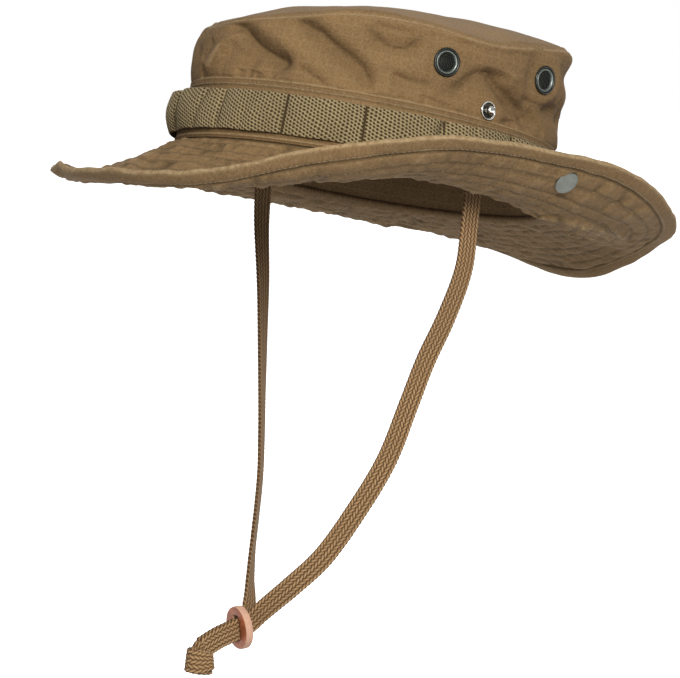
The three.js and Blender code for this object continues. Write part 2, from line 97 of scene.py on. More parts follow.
# Folds of the crown side: from angle and height, to angle and height, depth (negative is a ridge), width.
FOLDS = [
    (-87, 57, -65, 40, 3.2, 5), (-60, 60, -37, 38, 2.8, 5), (-76, 57, -52, 40, -1.2, 5),
    (-36, 56, -26, 57, 2.0, 5), (-31, 43, -25, 36, 1.4, 4), (-13, 40, -5, 45, 1.5, 5),
    (6, 45, 24, 37, 2.6, 5), (32, 47, 52, 46, 2.6, 5), (-99, 39, -87, 52, -1.2, 4),
    (-10, 67, 14, 68, 1.6, 5), (40, 68, 62, 69, 3.0, 6), (118, 70, 100, 44, 2.4, 6),
    (150, 66, 166, 42, 2.2, 6), (205, 60, 222, 40, 2.4, 6),
]
# Creases on top of the folds: depth (negative is a ridge), width, then the places that each runs through,
# steeper on the left of the way it runs.
STEEP, GENTLE, CREASE_ROUND = 0.95, 3.4, 0.7
CREASES = [
    (3.6, 2.3, [(-94, 62), (-91, 58), (-84, 53.7), (-77, 47.2), (-70, 43), (-62, 40)]),
    (2.4, 4.5, [(-92, 48), (-82, 43), (-74, 38)]),
    (-2.2, 1.0, [(-84, 56), (-87, 53.6), (-92, 46.2), (-96, 39.2), (-101, 33)]),
    (3.6, 2.3, [
        (-64, 63), (-60, 59.5), (-55, 57.7), (-50, 52.6), (-44.5, 48.4), (-39.5, 43.6), (-37, 36),
        (-35, 30),
    ]),
    (1.8, 1.5, [(-63, 43), (-67, 37), (-69.5, 31)]),
    (1.6, 1.5, [(-60, 39.5), (-54.5, 34.9), (-49, 31)]),
    (2.4, 1.6, [(-42, 63), (-38.5, 60.4), (-35.5, 57.3), (-31.5, 54.8), (-27, 56.2), (-23, 63)]),
    (2.2, 1.4, [(-31, 43.5), (-28.5, 42.3), (-24, 41), (-17, 41.2)]),
    (2.8, 2.4, [(-14, 40), (-10.5, 44.4), (-7.5, 48.4), (-4, 52), (0, 54), (4, 54.1), (10, 53)]),
    (3.8, 1.9, [(-2, 55), (1.2, 53.5), (7, 48.7), (13.5, 45.2), (20.5, 41.8), (24, 37)]),
    (2.4, 3.0, [(-6, 47), (2, 47), (10, 42), (18, 38)]),
    (-1.6, 1.3, [(4, 40), (12, 38.5), (20, 35)]),
    (2.4, 1.3, [(3, 33), (8, 33.2), (14.5, 34.4), (24, 39)]),
    (1.5, 1.2, [(-22, 35.5), (-20.2, 34.8), (-16, 33.5), (-10, 33)]),
    (3.0, 1.7, [(15, 48.5), (19, 47.4), (27.2, 47), (42, 49.5)]),
    (1.8, 1.4, [(22, 44.5), (24, 42), (28.5, 37.6), (32, 33)]),
    (-1.2, 1.4, [(-6, 57), (4, 57.5), (14, 55)]),
    (1.6, 1.6, [(41, 56), (47, 50), (52, 41)]),
    (1.1, 1.2, [(-39, 65.5), (-32.5, 64), (-26, 64.5)]),
    (1.0, 1.2, [(-22, 66), (-14, 64.5), (-7, 65.5)]),
    (1.2, 1.2, [(-83, 31), (-82.6, 36)]),
    (1.1, 1.2, [(-78.5, 31), (-78, 36)]),
    (1.0, 1.2, [(-75, 31), (-74.5, 35)]),
    (1.2, 1.3, [(-104, 31), (-103, 38)]),
    (2.0, 2.2, [(70, 50), (88, 62), (104, 52)]),
    (2.0, 2.0, [(128, 44), (134, 52), (142, 59)]),
    (1.6, 1.8, [(172, 66), (180, 61), (186, 60)]),
    (2.6, 2.2, [(214, 54), (224, 46), (233, 38)]),
    (2.6, 2.2, [(238, 58), (246, 50), (254, 41)]),
    (1.6, 1.8, [(262, 50), (257, 38)]),
    (1.8, 2.0, [(52, 62), (58, 52), (62, 42)]),
    (1.6, 1.8, [(192, 44), (185, 40), (178, 44)]),
    (1.8, 2.0, [(104, 70), (112, 60), (110, 50)]),
    (1.4, 1.6, [(148, 40), (156, 46), (166, 44)]),
]
# Folds of the brim: depth, width, and places as angle and share; millimetres to a degree and to a share.
FOLD_SCALE = (2.1, 60.0)
BRIM_FOLDS = [
    (3.4, 0.9, [(8, 0.16), (16.8, 0.4), (22, 0.5), (31, 0.537), (45, 0.58), (62, 0.66)]),
    (2.2, 1.0, [(24, 0.42), (34, 0.47), (50, 0.49), (66, 0.52)]),
    (-1.2, 2.0, [(56, 0.72), (40, 0.62), (30, 0.6)]),
    (-1.4, 3.0, [(66, 0.2), (72, 0.45), (74, 0.8)]),
    (-1.4, 4.0, [(-118, 0.35), (-106, 0.7), (-98, 0.9)]),
    (1.2, 3.0, [(-96, 0.4), (-88, 0.75)]),
    (1.0, 3.0, [(-62, 0.5), (-56, 0.8)]),
    (-1.6, 4.0, [(118, 0.3), (112, 0.7)]),
    (1.5, 3.0, [(134, 0.4), (142, 0.8)]),
    (-1.4, 3.0, [(206, 0.4), (214, 0.75)]),
    (1.2, 3.0, [(232, 0.4), (226, 0.8)]),
]
# Name, angle, height and turn of each vent; name, angle and height of each stud; name, angle and share
# across the brim of each snap.
VENTS = [
    ("vent_left_front", -15, 54, 0), ("vent_left_back", 26, 60, 14),
    ("vent_right_front", 195, 54, 0), ("vent_right_back", 154, 60, -10),
]
STUDS = [("snap_stud_left", 1.5, 36), ("snap_stud_right", 178.5, 36)]
SNAPS = [("brim_snap_left", 7, 0.81), ("brim_snap_right", 173, 0.81)]
FLAT_RADIUS = 11.0  # of the cloth that a vent or stud holds flat
SNAP_LEAN = 10.0  # degrees that a snap's cap looks outwards

# Middle lines of the two laces in millimetres, and the compass angle that each row's face looks to.
LACE_LEFT = [
    (80.6, 1.5, 9, 0), (81.2, 0.5, -6, 0), (81.0, -1.2, -20, 0), (79.0, -3, -42, -4),
    (72.7, -9, -66, -10), (65.7, -15.7, -86.6, -14), (59.8, -21.5, -108, -18), (51.6, -29, -136, -24),
    (41, -39.5, -161, -28), (29, -51, -184, -30), (17.5, -61.5, -198.5, -28), (6.5, -69.5, -210, -16),
    (1.5, -74.5, -216.6, -2), (1.3, -83, -219.6, 0), (1.3, -93, -222.6, 0), (1.3, -103, -226.8, 0),
]
LACE_RIGHT = [
    (-80.6, 1.5, 9, 0), (-81.2, 0.5, -6, 0), (-80, -1.5, -22, 6), (-71.5, -7.5, -52, 16),
    (-60, -17, -79, 27), (-48, -27, -105, 35), (-36, -37, -129, 39), (-29, -43.4, -147, 42),
    (-22.2, -51, -164, 44), (-15.5, -58.8, -180, 44), (-9.5, -65.2, -195, 35), (-4.5, -69.8, -207.5, 16),
    (-1.5, -74.5, -216.4, 3), (-1.3, -83, -219.6, 0), (-1.3, -93, -222.6, 0), (-1.3, -103, -226.8, 0),
]
LACE = {"width": 10.0, "thickness": 2.0, "edge": 0.8, "stitch": 2.4, "columns": 5, "relief": 0.34}
LACE_SWELL = 1.07  # how much wider a lace is drawn than its flat width
LACE_STEP = 0.45  # between the rings of a lace
SLIDE = {"radius": 10.7, "thickness": 4.0, "slot_width": 6.4, "slot_height": 12.6}
SLIDE_PLACE = {"at": (-0.2, -79.4, -218.6), "lean": 7.0, "turn": -10.0}


# ---- Shape functions, all on whole arrays ----
def column(table, index, angle):
    """A column of a table at any angle: a Catmull-Rom curve through its rows, closed on itself."""
    values = table[:, index]
    place = (np.asarray(angle, float) % 360) / 360 * len(values)
    row = np.floor(place).astype(int)
    t = place - row
    a, b, c, d = (values[(row + k) % len(values)] for k in (-1, 0, 1, 2))
    return b + 0.5 * t * (c - a + t * (2 * a - 5 * b + 4 * c - d + t * (3 * (b - c) + d - a)))


def smooth(x):
    """Smoothstep: 3 t squared less 2 t cubed, with t kept between 0 and 1."""
    t = np.clip(x, 0, 1)
    return t * t * (3 - 2 * t)


def bell(x, width):
    """exp(-(x / width) squared)."""
    return np.exp(-((x / width) ** 2))


def turn_to(angle, place):
    """Degrees from a place round to an angle, between -180 and 180."""
    return (angle - place + 900) % 360 - 180


def unit(vectors):
    return vectors / np.linalg.norm(vectors, axis=-1, keepdims=True)


def run_along(points):
    """How far along a path each of its points lies."""
    return np.concatenate([[0], np.cumsum(np.linalg.norm(np.diff(points, axis=0), axis=1))])


def noise(u, v, seed, period):
    """Smooth noise from -1 to 1: random heights on a lattice of unit cells, blended with smoothstep.
    It repeats after `period` cells along u, so that it closes round the hat."""
    rows = 64
    table = np.random.default_rng(seed).uniform(-1, 1, (period, rows))
    u, v = np.broadcast_arrays(np.asarray(u, float), np.asarray(v, float))
    iu, iv = np.floor(u).astype(int), np.floor(v).astype(int)
    fu, fv = smooth(u - iu), smooth(v - iv)
    a, b = table[iu % period, iv % rows], table[(iu + 1) % period, iv % rows]
    c, d = table[iu % period, (iv + 1) % rows], table[(iu + 1) % period, (iv + 1) % rows]
    return (a + (b - a) * fu) * (1 - fv) + (c + (d - c) * fu) * fv


def waves(angle, count, v, seed, shift=0.0):
    """Noise with count cells round the hat."""
    return noise(angle * count / 360 + shift, v, seed, count)


def hat_point(angle, outset, height):
    """The oval's point at an angle, moved along the oval's outward direction by the outset."""
    a, outset, height = np.broadcast_arrays(np.radians(angle), outset, height)
    x, y = np.cos(a), np.sin(a)
    nx, ny = x / WIDTH, y / LENGTH
    size = np.hypot(nx, ny)
    return np.stack([x * WIDTH / 2 + nx / size * outset, y * LENGTH / 2 + ny / size * outset, height], -1)


def worn(points):
    """Turned about X by the wearing tilt, front up and back down, and from millimetres to metres."""
    c, s = math.cos(math.radians(TILT)), math.sin(math.radians(TILT))
    x, y, z = np.moveaxis(np.asarray(points, float), -1, 0)
    return np.stack([x, y * c + z * s, z * c - y * s], -1) * MM


def cloth_step(angle, height, to_angle, to_height):
    """From one place on the crown side to another, in millimetres across and up the cloth."""
    return turn_to(to_angle, angle) * ARC, to_height - height


def to_segment(px, py, rx, ry):
    """Distance from a point to the segment from the origin to (rx, ry)."""
    along = np.clip((px * rx + py * ry) / (rx * rx + ry * ry), 0, 1)
    return np.hypot(px - rx * along, py - ry * along)


def pressed(folds, angle, height):
    """Sum over the folds of depth times exp(-(distance to the fold's line / width) squared)."""
    depth = 0.0
    for a0, h0, a1, h1, deep, width in folds:
        away = to_segment(*cloth_step(a0, h0, angle, height), *cloth_step(a0, h0, a1, h1))
        depth = depth + deep * bell(away, width)
    return depth


def creased(creases, angle, level, across=ARC, up=1.0):
    """Each crease is a line through several places. Its depth falls off as exp(-distance / width), over
    STEEP widths on the side to its left and GENTLE widths on its right, so that cloth stands like a
    shoulder over one side of it, and fades towards both ends. across and up turn degrees and levels to
    millimetres."""
    depth = 0.0
    for deep, width, places in creases:
        near, side, run, total = 1e9, 1.0, 0.0, 0.0
        for (a0, h0), (a1, h1) in zip(places, places[1:]):
            px, py = turn_to(angle, a0) * across, (level - h0) * up
            rx, ry = (a1 - a0) * across, (h1 - h0) * up
            gap = to_segment(px, py, rx, ry)
            left = rx * py - ry * px
            length = np.hypot(rx, ry)
            side = np.where(gap < near, smooth(0.5 + left / length / (2 * width)), side)
            run = np.where(gap < near, total + np.clip((px * rx + py * ry) / length, 0, length), run)
            near = np.minimum(near, gap)
            total = total + length
        spread = width * (GENTLE + (STEEP - GENTLE) * side)
        bottom = np.hypot(near, CREASE_ROUND) - CREASE_ROUND
        fade = smooth(4 * run / total + 0.15) * smooth(4 - 4 * run / total + 0.15)
        depth = depth + deep * fade * np.exp(-bottom / spread)
    return depth


def flat_share(angle, height):
    """0 at a vent or stud, where metal holds the cloth flat, and 1 away from all of them."""
    free = 1.0
    for _, a, h, *_ in VENTS + STUDS:
        free = free * smooth(np.hypot(*cloth_step(a, h, angle, height)) / FLAT_RADIUS - 0.6)
    return free


def vent_turn(angle, height):
    """How far the cloth round a turned vent stands out: its distance across times the turn's slope."""
    lift = 0.0
    for _, a, h, turn in VENTS:
        across, up = cloth_step(a, h, angle, height)
        near = 1 - smooth(np.hypot(across, up) / FLAT_RADIUS - 0.8)
        lift = lift + near * across * math.tan(math.radians(turn))
    return lift


def band_outset(height):
    """The lower band leans in by BAND_LEAN from the brim seam to its top seam."""
    return -BAND_LEAN * smooth(np.asarray(height, float) / BAND_TOP)


def crown_outset(angle, height):
    """Straight from seam to seam, plus a belly that follows a half sine, less the folds."""
    top, lip = column(CROWN, 0, angle), column(CROWN, 2, angle)
    t = (height - BAND_TOP) / (top - BAND_TOP)
    straight = -BAND_LEAN + (lip + BAND_LEAN) * t
    belly = (column(CROWN, 1, angle) - (lip - BAND_LEAN) / 2) * np.sin(np.pi * np.clip(t, 0, 1))
    free = smooth(t / 0.15) * smooth((1 - t) / 0.1)
    folds = pressed(FOLDS, angle, height) * flat_share(angle, height)
    return straight + belly + vent_turn(angle, height) - folds * free


def lip_in(angle):
    """How far the crown's upper edge is drawn in to the tip: most at the front, right of its middle."""
    return 2.2 + bell(turn_to(angle, -122), 42)


def crown_folds(angle, height):
    """How deep the creases are at a place of the crown side, fading at its two seams."""
    top = column(CROWN, 0, angle)
    free = smooth((height - BAND_TOP + 1) / 2.5) * smooth((top - height) / 4)
    return creased(CREASES, angle, height) * free


def crown_relief(angle, height, strength):
    """Creases, soft crumple in two sizes, and small gathers that fade upwards from the lower seam and
    downwards from the upper one. Under each vent the cloth is drawn in."""
    top = column(CROWN, 0, angle)
    t = (height - BAND_TOP) / (top - BAND_TOP)
    free = smooth(t / 0.06) * smooth((1 - t) / 0.06)
    held = flat_share(angle, height)
    crumple = 0.55 * waves(angle, 36, height / 15, 3, height * 0.02)
    crumple = crumple + 0.22 * waves(angle, 90, height / 7, 4, -height * 0.05)
    gather = waves(angle, 72, height * 0.03, 5) + 0.5 * waves(angle, 150, 0, 6)
    low = np.exp(-(height - BAND_TOP) / 4.5) * smooth((height - BAND_TOP) / 1.2)
    high = np.exp(-(top - height) / 3.5) * smooth((top - height) / 1.0)
    puff = 0.9 * smooth((height - BAND_TOP) / 2.2) * np.exp(-np.maximum(height - BAND_TOP, 0) / 9)
    folded = (crumple * free - crown_folds(angle, height) + 0.9 * gather * low + 0.5 * gather * high) * held
    turned = np.clip((height - top) / (3 + 1.6 * lip_in(angle)) + 1, 0, 0.995)
    round_off = -lip_in(angle) * (1 - np.sqrt(1 - turned**2))
    drawn = 0.0
    for _, a, h, _ in VENTS:
        drawn = drawn - 2.2 * (1 - smooth((np.hypot(*cloth_step(a, h, angle, height)) - 4.6) / 1.2))
    return folded * strength + puff * (0.4 + 0.6 * held) + drawn + round_off


def crown_place(angle, height, lift, strength):
    """The crown side's outer face, raised by lift."""
    outset = crown_outset(angle, height) + crown_relief(angle, height, strength)
    return hat_point(angle, outset + lift, height)


def tip_height(angle, share):
    """The tip falls from its middle to its edge with share to the power TIP_FULLNESS, fuller behind."""
    edge = column(CROWN, 0, angle) + GAP
    back = TIP_BACK_RISE * np.sin(np.radians(angle)) * 4 * share * (1 - share)
    return TIP_CENTER + (edge - TIP_CENTER) * share**TIP_FULLNESS + back


def tip_place(angle, share, lift):
    """A place on the tip's under face, raised by lift; crumple grows away from the seam."""
    rim = hat_point(angle, column(CROWN, 2, angle) - lip_in(angle) - 0.2, 0.0)
    x, y = rim[..., 0] * share, rim[..., 1] * share
    soft = smooth((1 - share) / 0.08)
    crumple = 0.9 * noise(x / 34 + 40, y / 30, 21, 97) + 0.35 * noise(x / 15 + 40, y / 13, 22, 97)
    gather = waves(angle, 60, 0, 23) * np.exp(-(1 - share) / 0.06) * smooth((1 - share) / 0.02)
    return np.stack([x, y, tip_height(angle, share) + crumple * soft + 0.5 * gather + lift], -1)


def brim_line(angle, share):
    """The brim's middle line: outset reach times share; height rise times share squared, less a dip
    deepest halfway and a tuck deepest at TUCK_SHARE."""
    late = share ** (math.log(0.5) / math.log(TUCK_SHARE))
    reach, rise, dip, tuck = (column(BRIM, i, angle) for i in range(4))
    height = rise * share * share - dip * 4 * share * (1 - share) - tuck * 4 * late * (1 - late)
    return reach * share, height


def brim_place(angle, share, lift):
    """A place on the brim, raised along the middle line's normal by lift."""
    out, up = brim_line(angle, share)
    o0, u0 = brim_line(angle, np.maximum(share - 0.01, 0))
    o1, u1 = brim_line(angle, share + 0.01)
    size = np.hypot(o1 - o0, u1 - u0)
    edge = np.clip((share - 0.8) / 0.2, 0, 1) ** 2
    waver = edge * (0.6 * waves(angle, 52, 0, 31) + 0.35 * waves(angle, 120, 0, 32))
    ripple = edge * (0.6 * waves(angle, 44, 3, 33) + 0.35 * waves(angle, 100, 3, 34))
    ripple = ripple - creased(BRIM_FOLDS, angle, share, *FOLD_SCALE) * smooth(share / 0.2)
    # the edge turns up to a corner at the front right, and sags a little at the left
    ripple = ripple + 3.4 * bell(turn_to(angle, 249), 3.0) * smooth((share - 0.9) * 10)
    ripple = ripple - 1.3 * edge * bell(turn_to(angle, -2), 20)
    return hat_point(angle, out - (u1 - u0) / size * lift + waver, up + (o1 - o0) / size * lift + ripple)


def hem_start(angle):
    """The share where the hem starts: its width along the cloth over the brim's slant near the edge."""
    o0, u0 = brim_line(angle, 0.9)
    o1, u1 = brim_line(angle, 1.0)
    return 1 - HEM_WIDTH * 0.1 / np.hypot(o1 - o0, u1 - u0)


def brim_relief(angle, share, face, rows):
    """How far a face of the brim stands off its middle line. Cloth swells between two stitch rows as the
    square root of a sine, and buckles between them in short pillows whose places change from row to
    row; slanting wrinkles cross several rows. The turned hem is thicker, with slanting ripples."""
    start = hem_start(angle)
    place = share / start * rows
    cell = np.floor(place)
    t = place - cell
    between = np.sqrt(np.abs(np.sin(np.pi * t)))
    seed, many, more, fine = (41, 120, 210, 0.8) if face > 0 else (42, 200, 320, 0.55)
    short = waves(angle, many, cell * 3.0 + 0.6 * t, seed, cell * 7.3 + 0.5 * t)
    small = waves(angle, more, cell * 5.0 + 0.8 * t, seed + 2, cell * 3.1 - 0.7 * t)
    long = waves(angle, 84, place * 0.4, seed + 4, place * 0.3)
    slant = waves(angle, 110, place * 0.5, seed + 8, -place * 0.8)
    pillow = 0.5 * (between - 0.75) + (0.7 * short + fine * small) * between
    quilt = (pillow + 0.4 * long + 0.45 * slant) * smooth(share / 0.07) - 0.9 * bell(share, 0.035)
    on_hem = smooth((share - start) * 60)
    across = (share - start) / (1 - start)
    twist = waves(angle, 110, across * 1.5, seed + 12, across * 1.6)
    roll = np.sqrt(np.clip(1 - (2 * np.clip(across, 0, 1) - 1) ** 4, 0.05, 1))
    hem = 0.3 + 0.25 * roll + 0.22 * twist
    line = bell(across * HEM_WIDTH - HEM_STITCH, 0.4)
    near = bell(share - start, 0.01)
    return BRIM_WALL / 2 + quilt * (1 - on_hem) + (hem - 0.35 * line) * on_hem - 0.55 * near


# ---- Meshes ----
def put_object(name, data, at=(0, 0, 0), look=None):
    """An object in the scene; a lamp or camera looks along `look`."""
    thing = bpy.data.objects.new(name, data)
    thing.location = at
    if look is not None:
        thing.rotation_euler = look.to_track_quat("-Z", "Y").to_euler()
    bpy.context.scene.collection.objects.link(thing)
    return thing


def put_mesh(name, points, faces, material, body_slot, uv=None, layers=None):
    """A mesh object from points in metres and rows of corner indices, smooth shaded."""
    mesh = bpy.data.meshes.new(name)
    mesh.from_pydata(np.asarray(points, float).reshape(-1, 3), [], faces.tolist())
    mesh.polygons.foreach_set("use_smooth", np.ones(len(mesh.polygons), bool))
    if uv is not None:
        mesh.uv_layers.new(name="cloth").data.foreach_set("uv", np.asarray(uv, np.float32).ravel())
    for key, values in (layers or {}).items():
        layer = mesh.attributes.new(key, "FLOAT", "POINT")
        layer.data.foreach_set("value", np.asarray(values, np.float32).ravel())
    mesh.materials.append(material)
    mesh.update()
    mesh.validate()
    thing = put_object(name, mesh)
    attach(thing, "root")
    return thing


def put_grid(name, points, material, body_slot, wrap_rows=True, uv=None, layers=None):
    """Quads on a grid of points (rows, columns, 3) whose columns close on themselves, and its rows too
    unless told otherwise; uv has one more row and column where it wraps."""
    rows, cols = points.shape[:2]
    r, c = np.meshgrid(np.arange(rows if wrap_rows else rows - 1), np.arange(cols), indexing="ij")
    corner_r = np.stack([r, r, r + 1, r + 1], -1).reshape(-1, 4)
    corner_c = np.stack([c, c + 1, c + 1, c], -1).reshape(-1, 4)
    faces = (corner_r % rows) * cols + corner_c % cols
    if uv is not None:
        uv = uv[corner_r, corner_c]
    return put_mesh(name, points, faces, material, body_slot, uv, layers)


def around(count):
    """Angles of the columns of a ring, in degrees, as a row; and the same with the first repeated."""
    angles = np.arange(count) * 360.0 / count
    return angles[None, :], np.append(angles, 360.0)[None, :]


def wall_rows(outer, inner_rows, wall):
    """Rows up the outer face, then rows down the inner face, each with its lift off the outer face."""
    inner = outer[np.linspace(len(outer) - 1, 0, inner_rows).round().astype(int)]
    edge = 0.35
    places = np.concatenate([outer, inner])
    lifts = np.concatenate([np.zeros(len(outer)), np.full(inner_rows, -wall)])
    lifts[0] = lifts[len(outer) - 1] = -edge
    lifts[len(outer)] = lifts[-1] = edge - wall
    return places[:, None], lifts[:, None]


def spindles(centers, along, up, length, width, height):
    """Stitches: each a spindle of two square rings between two points, lying along its direction.
    Returns points (stitches, 10, 3) and triangles."""
    side = unit(np.cross(up, along))
    rings = [[x, y, z] for x in (-0.28, 0.28) for y, z in ((0.5, 0), (0, 0.5), (-0.5, 0), (0, -0.5))]
    local = np.array([[-0.5, 0, -0.6], *rings, [0.5, 0, -0.6]])
    axes = ((along, length), (side, width), (up, height))
    points = centers[:, None] + sum(
        axis[:, None] * local[None, :, i : i + 1] * size for i, (axis, size) in enumerate(axes)
    )
    tris = []
    for k in range(4):
        a, b = 1 + k, 1 + (k + 1) % 4
        tris += [[0, b, a], [a, b, b + 4], [a, b + 4, a + 4], [a + 4, b + 4, 9]]
    tris = np.array(tris)
    faces = (np.arange(len(centers))[:, None, None] * 10 + tris[None]).reshape(-1, 3)
    return points, faces


def stitch_row(place, pitch):
    """Stitches along place(angle, lift), evenly spaced: their centres, directions and outward ups."""
    fine = np.linspace(0.0, 360.0, 2049)
    length = run_along(worn(place(fine, 0.0)) / MM)
    count = max(int(length[-1] / pitch), 2)
    angle = np.interp((np.arange(count) + 0.5) * length[-1] / count, length, fine)
    step = 0.15
    centre = worn(place(angle, 0.0))
    along = unit(worn(place(angle + step, 0.0)) - worn(place(angle - step, 0.0)))
    up = worn(place(angle, 0.5)) - centre
    up -= along * np.sum(up * along, axis=1, keepdims=True)
    return centre, along, unit(up)


def put_stitches(name, rows, material, body_slot, length, width):
    """One object for many rows of stitches."""
    centre, along, up = (np.concatenate([r[i] for r in rows]) for i in range(3))
    jitter = np.random.default_rng(7).uniform(0.88, 1.08, (len(centre), 1, 1))
    points, faces = spindles(centre, along, up, length * MM * jitter, width * MM, width * 0.8 * MM)
    return put_mesh(name, points, faces, material, body_slot)


# ---- Node materials ----
class Nodes:
    """Short names for making one node tree. A value may be a number or another node's output."""

    def __init__(self, tree):
        self.tree = tree

    def put(self, socket, value):
        if isinstance(value, bpy.types.NodeSocket):
            self.tree.links.new(value, socket)
        elif hasattr(value, "__len__") and len(value) == 3 and socket.type == "RGBA":
            socket.default_value = (*value, 1.0)
        else:
            socket.default_value = value

    def add(self, kind, inputs=(), **settings):
        node = self.tree.nodes.new("ShaderNode" + kind)
        for key, value in settings.items():
            setattr(node, key, value)
        for key, value in dict(inputs).items():
            self.put(node.inputs[key], value)
        return node

    def math(self, operation, a, b=0.0):
        return self.add("Math", {0: a, 1: b}, operation=operation).outputs[0]

    def plus(self, a, b):
        return self.math("ADD", a, b)

    def times(self, a, b):
        return self.math("MULTIPLY", a, b)

    def ramp(self, value, low, high, to_low=0.0, to_high=1.0):
        inputs = {"Value": value, "From Min": low, "From Max": high, "To Min": to_low, "To Max": to_high}
        return self.add("MapRange", inputs, interpolation_type="SMOOTHSTEP").outputs[0]

    def mix(self, factor, a, b):
        return self.add("Mix", {0: factor, 6: a, 7: b}, data_type="RGBA").outputs[2]

    def place(self, scale=(1, 1, 1)):
        """The object's own space."""
        inputs = {"Vector": self.add("TexCoord").outputs["Object"], "Scale": scale}
        return self.add("Mapping", inputs).outputs[0]

    def cloth(self, scale):
        """The cloth map."""
        inputs = {"Vector": self.add("UVMap", uv_map="cloth").outputs[0], "Scale": scale}
        return self.add("Mapping", inputs).outputs[0]

    def grain(self, scale, detail=2.0, rough=0.5, stretch=(1, 1, 1)):
        return self.noise(self.place(stretch), scale, detail, rough)

    def noise(self, vector, scale, detail, rough=0.5):
        inputs = {"Vector": vector, "Scale": scale, "Detail": detail, "Roughness": rough}
        return self.add("TexNoise", inputs).outputs[0]

    def value(self, name):
        return self.add("Attribute", attribute_name=name).outputs["Fac"]


class Paint(Nodes):
    """A new material with one shader."""

    def __init__(self, name):
        self.material = bpy.data.materials.new(name)
        self.material.use_nodes = True
        super().__init__(self.material.node_tree)
        self.tree.nodes.clear()
        self.shader = self.add("BsdfPrincipled")
        self.add("OutputMaterial", {0: self.shader.outputs[0]})

    def set(self, **values):
        for key, value in values.items():
            self.put(self.shader.inputs[key.replace("_", " ")], value)

    def bump(self, height, distance, strength=1.0):
        inputs = {"Height": height, "Distance": distance * MM, "Strength": strength}
        self.set(Normal=self.add("Bump", inputs).outputs[0])


def linear(color):
    """From display values of 0 to 255 to linear light."""
    c = np.asarray(color, float) / 255
    return tuple(np.where(c <= 0.04045, c / 12.92, ((c + 0.055) / 1.055) ** 2.4))


def scaled(colour, share):
    return [c * share for c in colour]


def canvas_material(name, colour, wear_and_highlight_colour, shade_colour):
    """Washed cotton: threads both ways with slubs, a faint ripstop grid and mottled dye. It is pale where
    seams and edges have rubbed, with painted highlight where cloth stands proud, and painted shade darkens
    its grooves, folds and inner faces."""
    n = Paint(name)
    weave = n.plus(n.noise(n.cloth((2400, 560, 1)), 1.0, 1.0), n.noise(n.cloth((560, 2400, 1)), 1.0, 1.0))
    grid_uv = n.add("SeparateXYZ", {0: n.cloth((1 / RIPSTOP, 1 / RIPSTOP, 1))})
    off = [n.math("SUBTRACT", n.math("FRACT", grid_uv.outputs[i]), 0.5) for i in (0, 1)]
    grid = n.math("MAXIMUM", *(n.ramp(n.math("ABSOLUTE", v), 0.36, 0.5) for v in off))
    cloud, fleck = n.grain(28.0, 4.0, 0.55), n.grain(420.0, 3.0, 0.6)
    base = n.mix(n.ramp(cloud, 0.35, 0.65), scaled(colour, 0.90), scaled(colour, 1.10))
    base = n.mix(n.times(n.ramp(weave, 0.75, 1.25), 0.22), base, wear_and_highlight_colour)
    base = n.mix(n.times(n.ramp(weave, 1.05, 0.7), 0.25), base, shade_colour)
    base = n.mix(n.times(grid, 0.10), base, wear_and_highlight_colour)
    # Pale on rubbed seams and edges, and painted highlight on proud folds and pillows.
    wear = n.times(n.value("wear"), n.ramp(fleck, 0.35, 0.62, 0.35, 1.0))
    base = n.mix(n.math("MINIMUM", wear, 1.0), base, wear_and_highlight_colour)
    # Painted shade: darker towards the shade colour in grooves, folds and inner faces.
    base = n.mix(n.value("deep"), base, shade_colour)
    n.bump(n.plus(n.plus(weave, n.times(grid, 0.35)), n.times(fleck, 0.6)), 0.22)
    n.set(Base_Color=base, Roughness=0.92, Sheen_Weight=0.04, Sheen_Roughness=0.5)
    n.set(Sheen_Tint=wear_and_highlight_colour, Specular_IOR_Level=0.2)
    return n.material


def thread_material(name, colour, wear_and_highlight_colour):
    """Twisted sewing thread: plies that are partly worn, and a little sheen."""
    n = Paint(name)
    ply = n.grain(1500.0)
    light = [0.6 * a + 0.4 * b for a, b in zip(colour, wear_and_highlight_colour)]
    n.set(Base_Color=n.mix(n.ramp(ply, 0.35, 0.65), colour, light), Roughness=0.75, Sheen_Weight=0.05)
    n.bump(ply, 0.1)
    return n.material


def braid_material(name, gap, mid, light):
    """Braid: colour runs from the dark gaps to the light crowns of the yarns, which the piece keeps in its
    relief attribute, with fine fibres over them: painted shade in the gaps and painted highlight on the
    crowns."""
    n = Paint(name)
    relief, fibre, cloud = n.value("relief"), n.grain(1400.0, 3.0, 0.6), n.grain(45.0, 3.0)
    base = n.mix(n.ramp(relief, 0.12, 0.62), gap, mid)
    base = n.mix(n.times(n.ramp(relief, 0.55, 0.95), n.ramp(fibre, 0.3, 0.6, 0.4, 1.0)), base, light)
    base = n.mix(n.ramp(cloud, 0.3, 0.7, 0.0, 0.25), base, scaled(mid, 0.7))
    n.set(Base_Color=base, Roughness=0.9, Sheen_Weight=0.06, Sheen_Roughness=0.5, Specular_IOR_Level=0.2)
    n.bump(n.plus(n.times(relief, 0.6), n.times(fibre, 0.5)), 0.25)
    return n.material


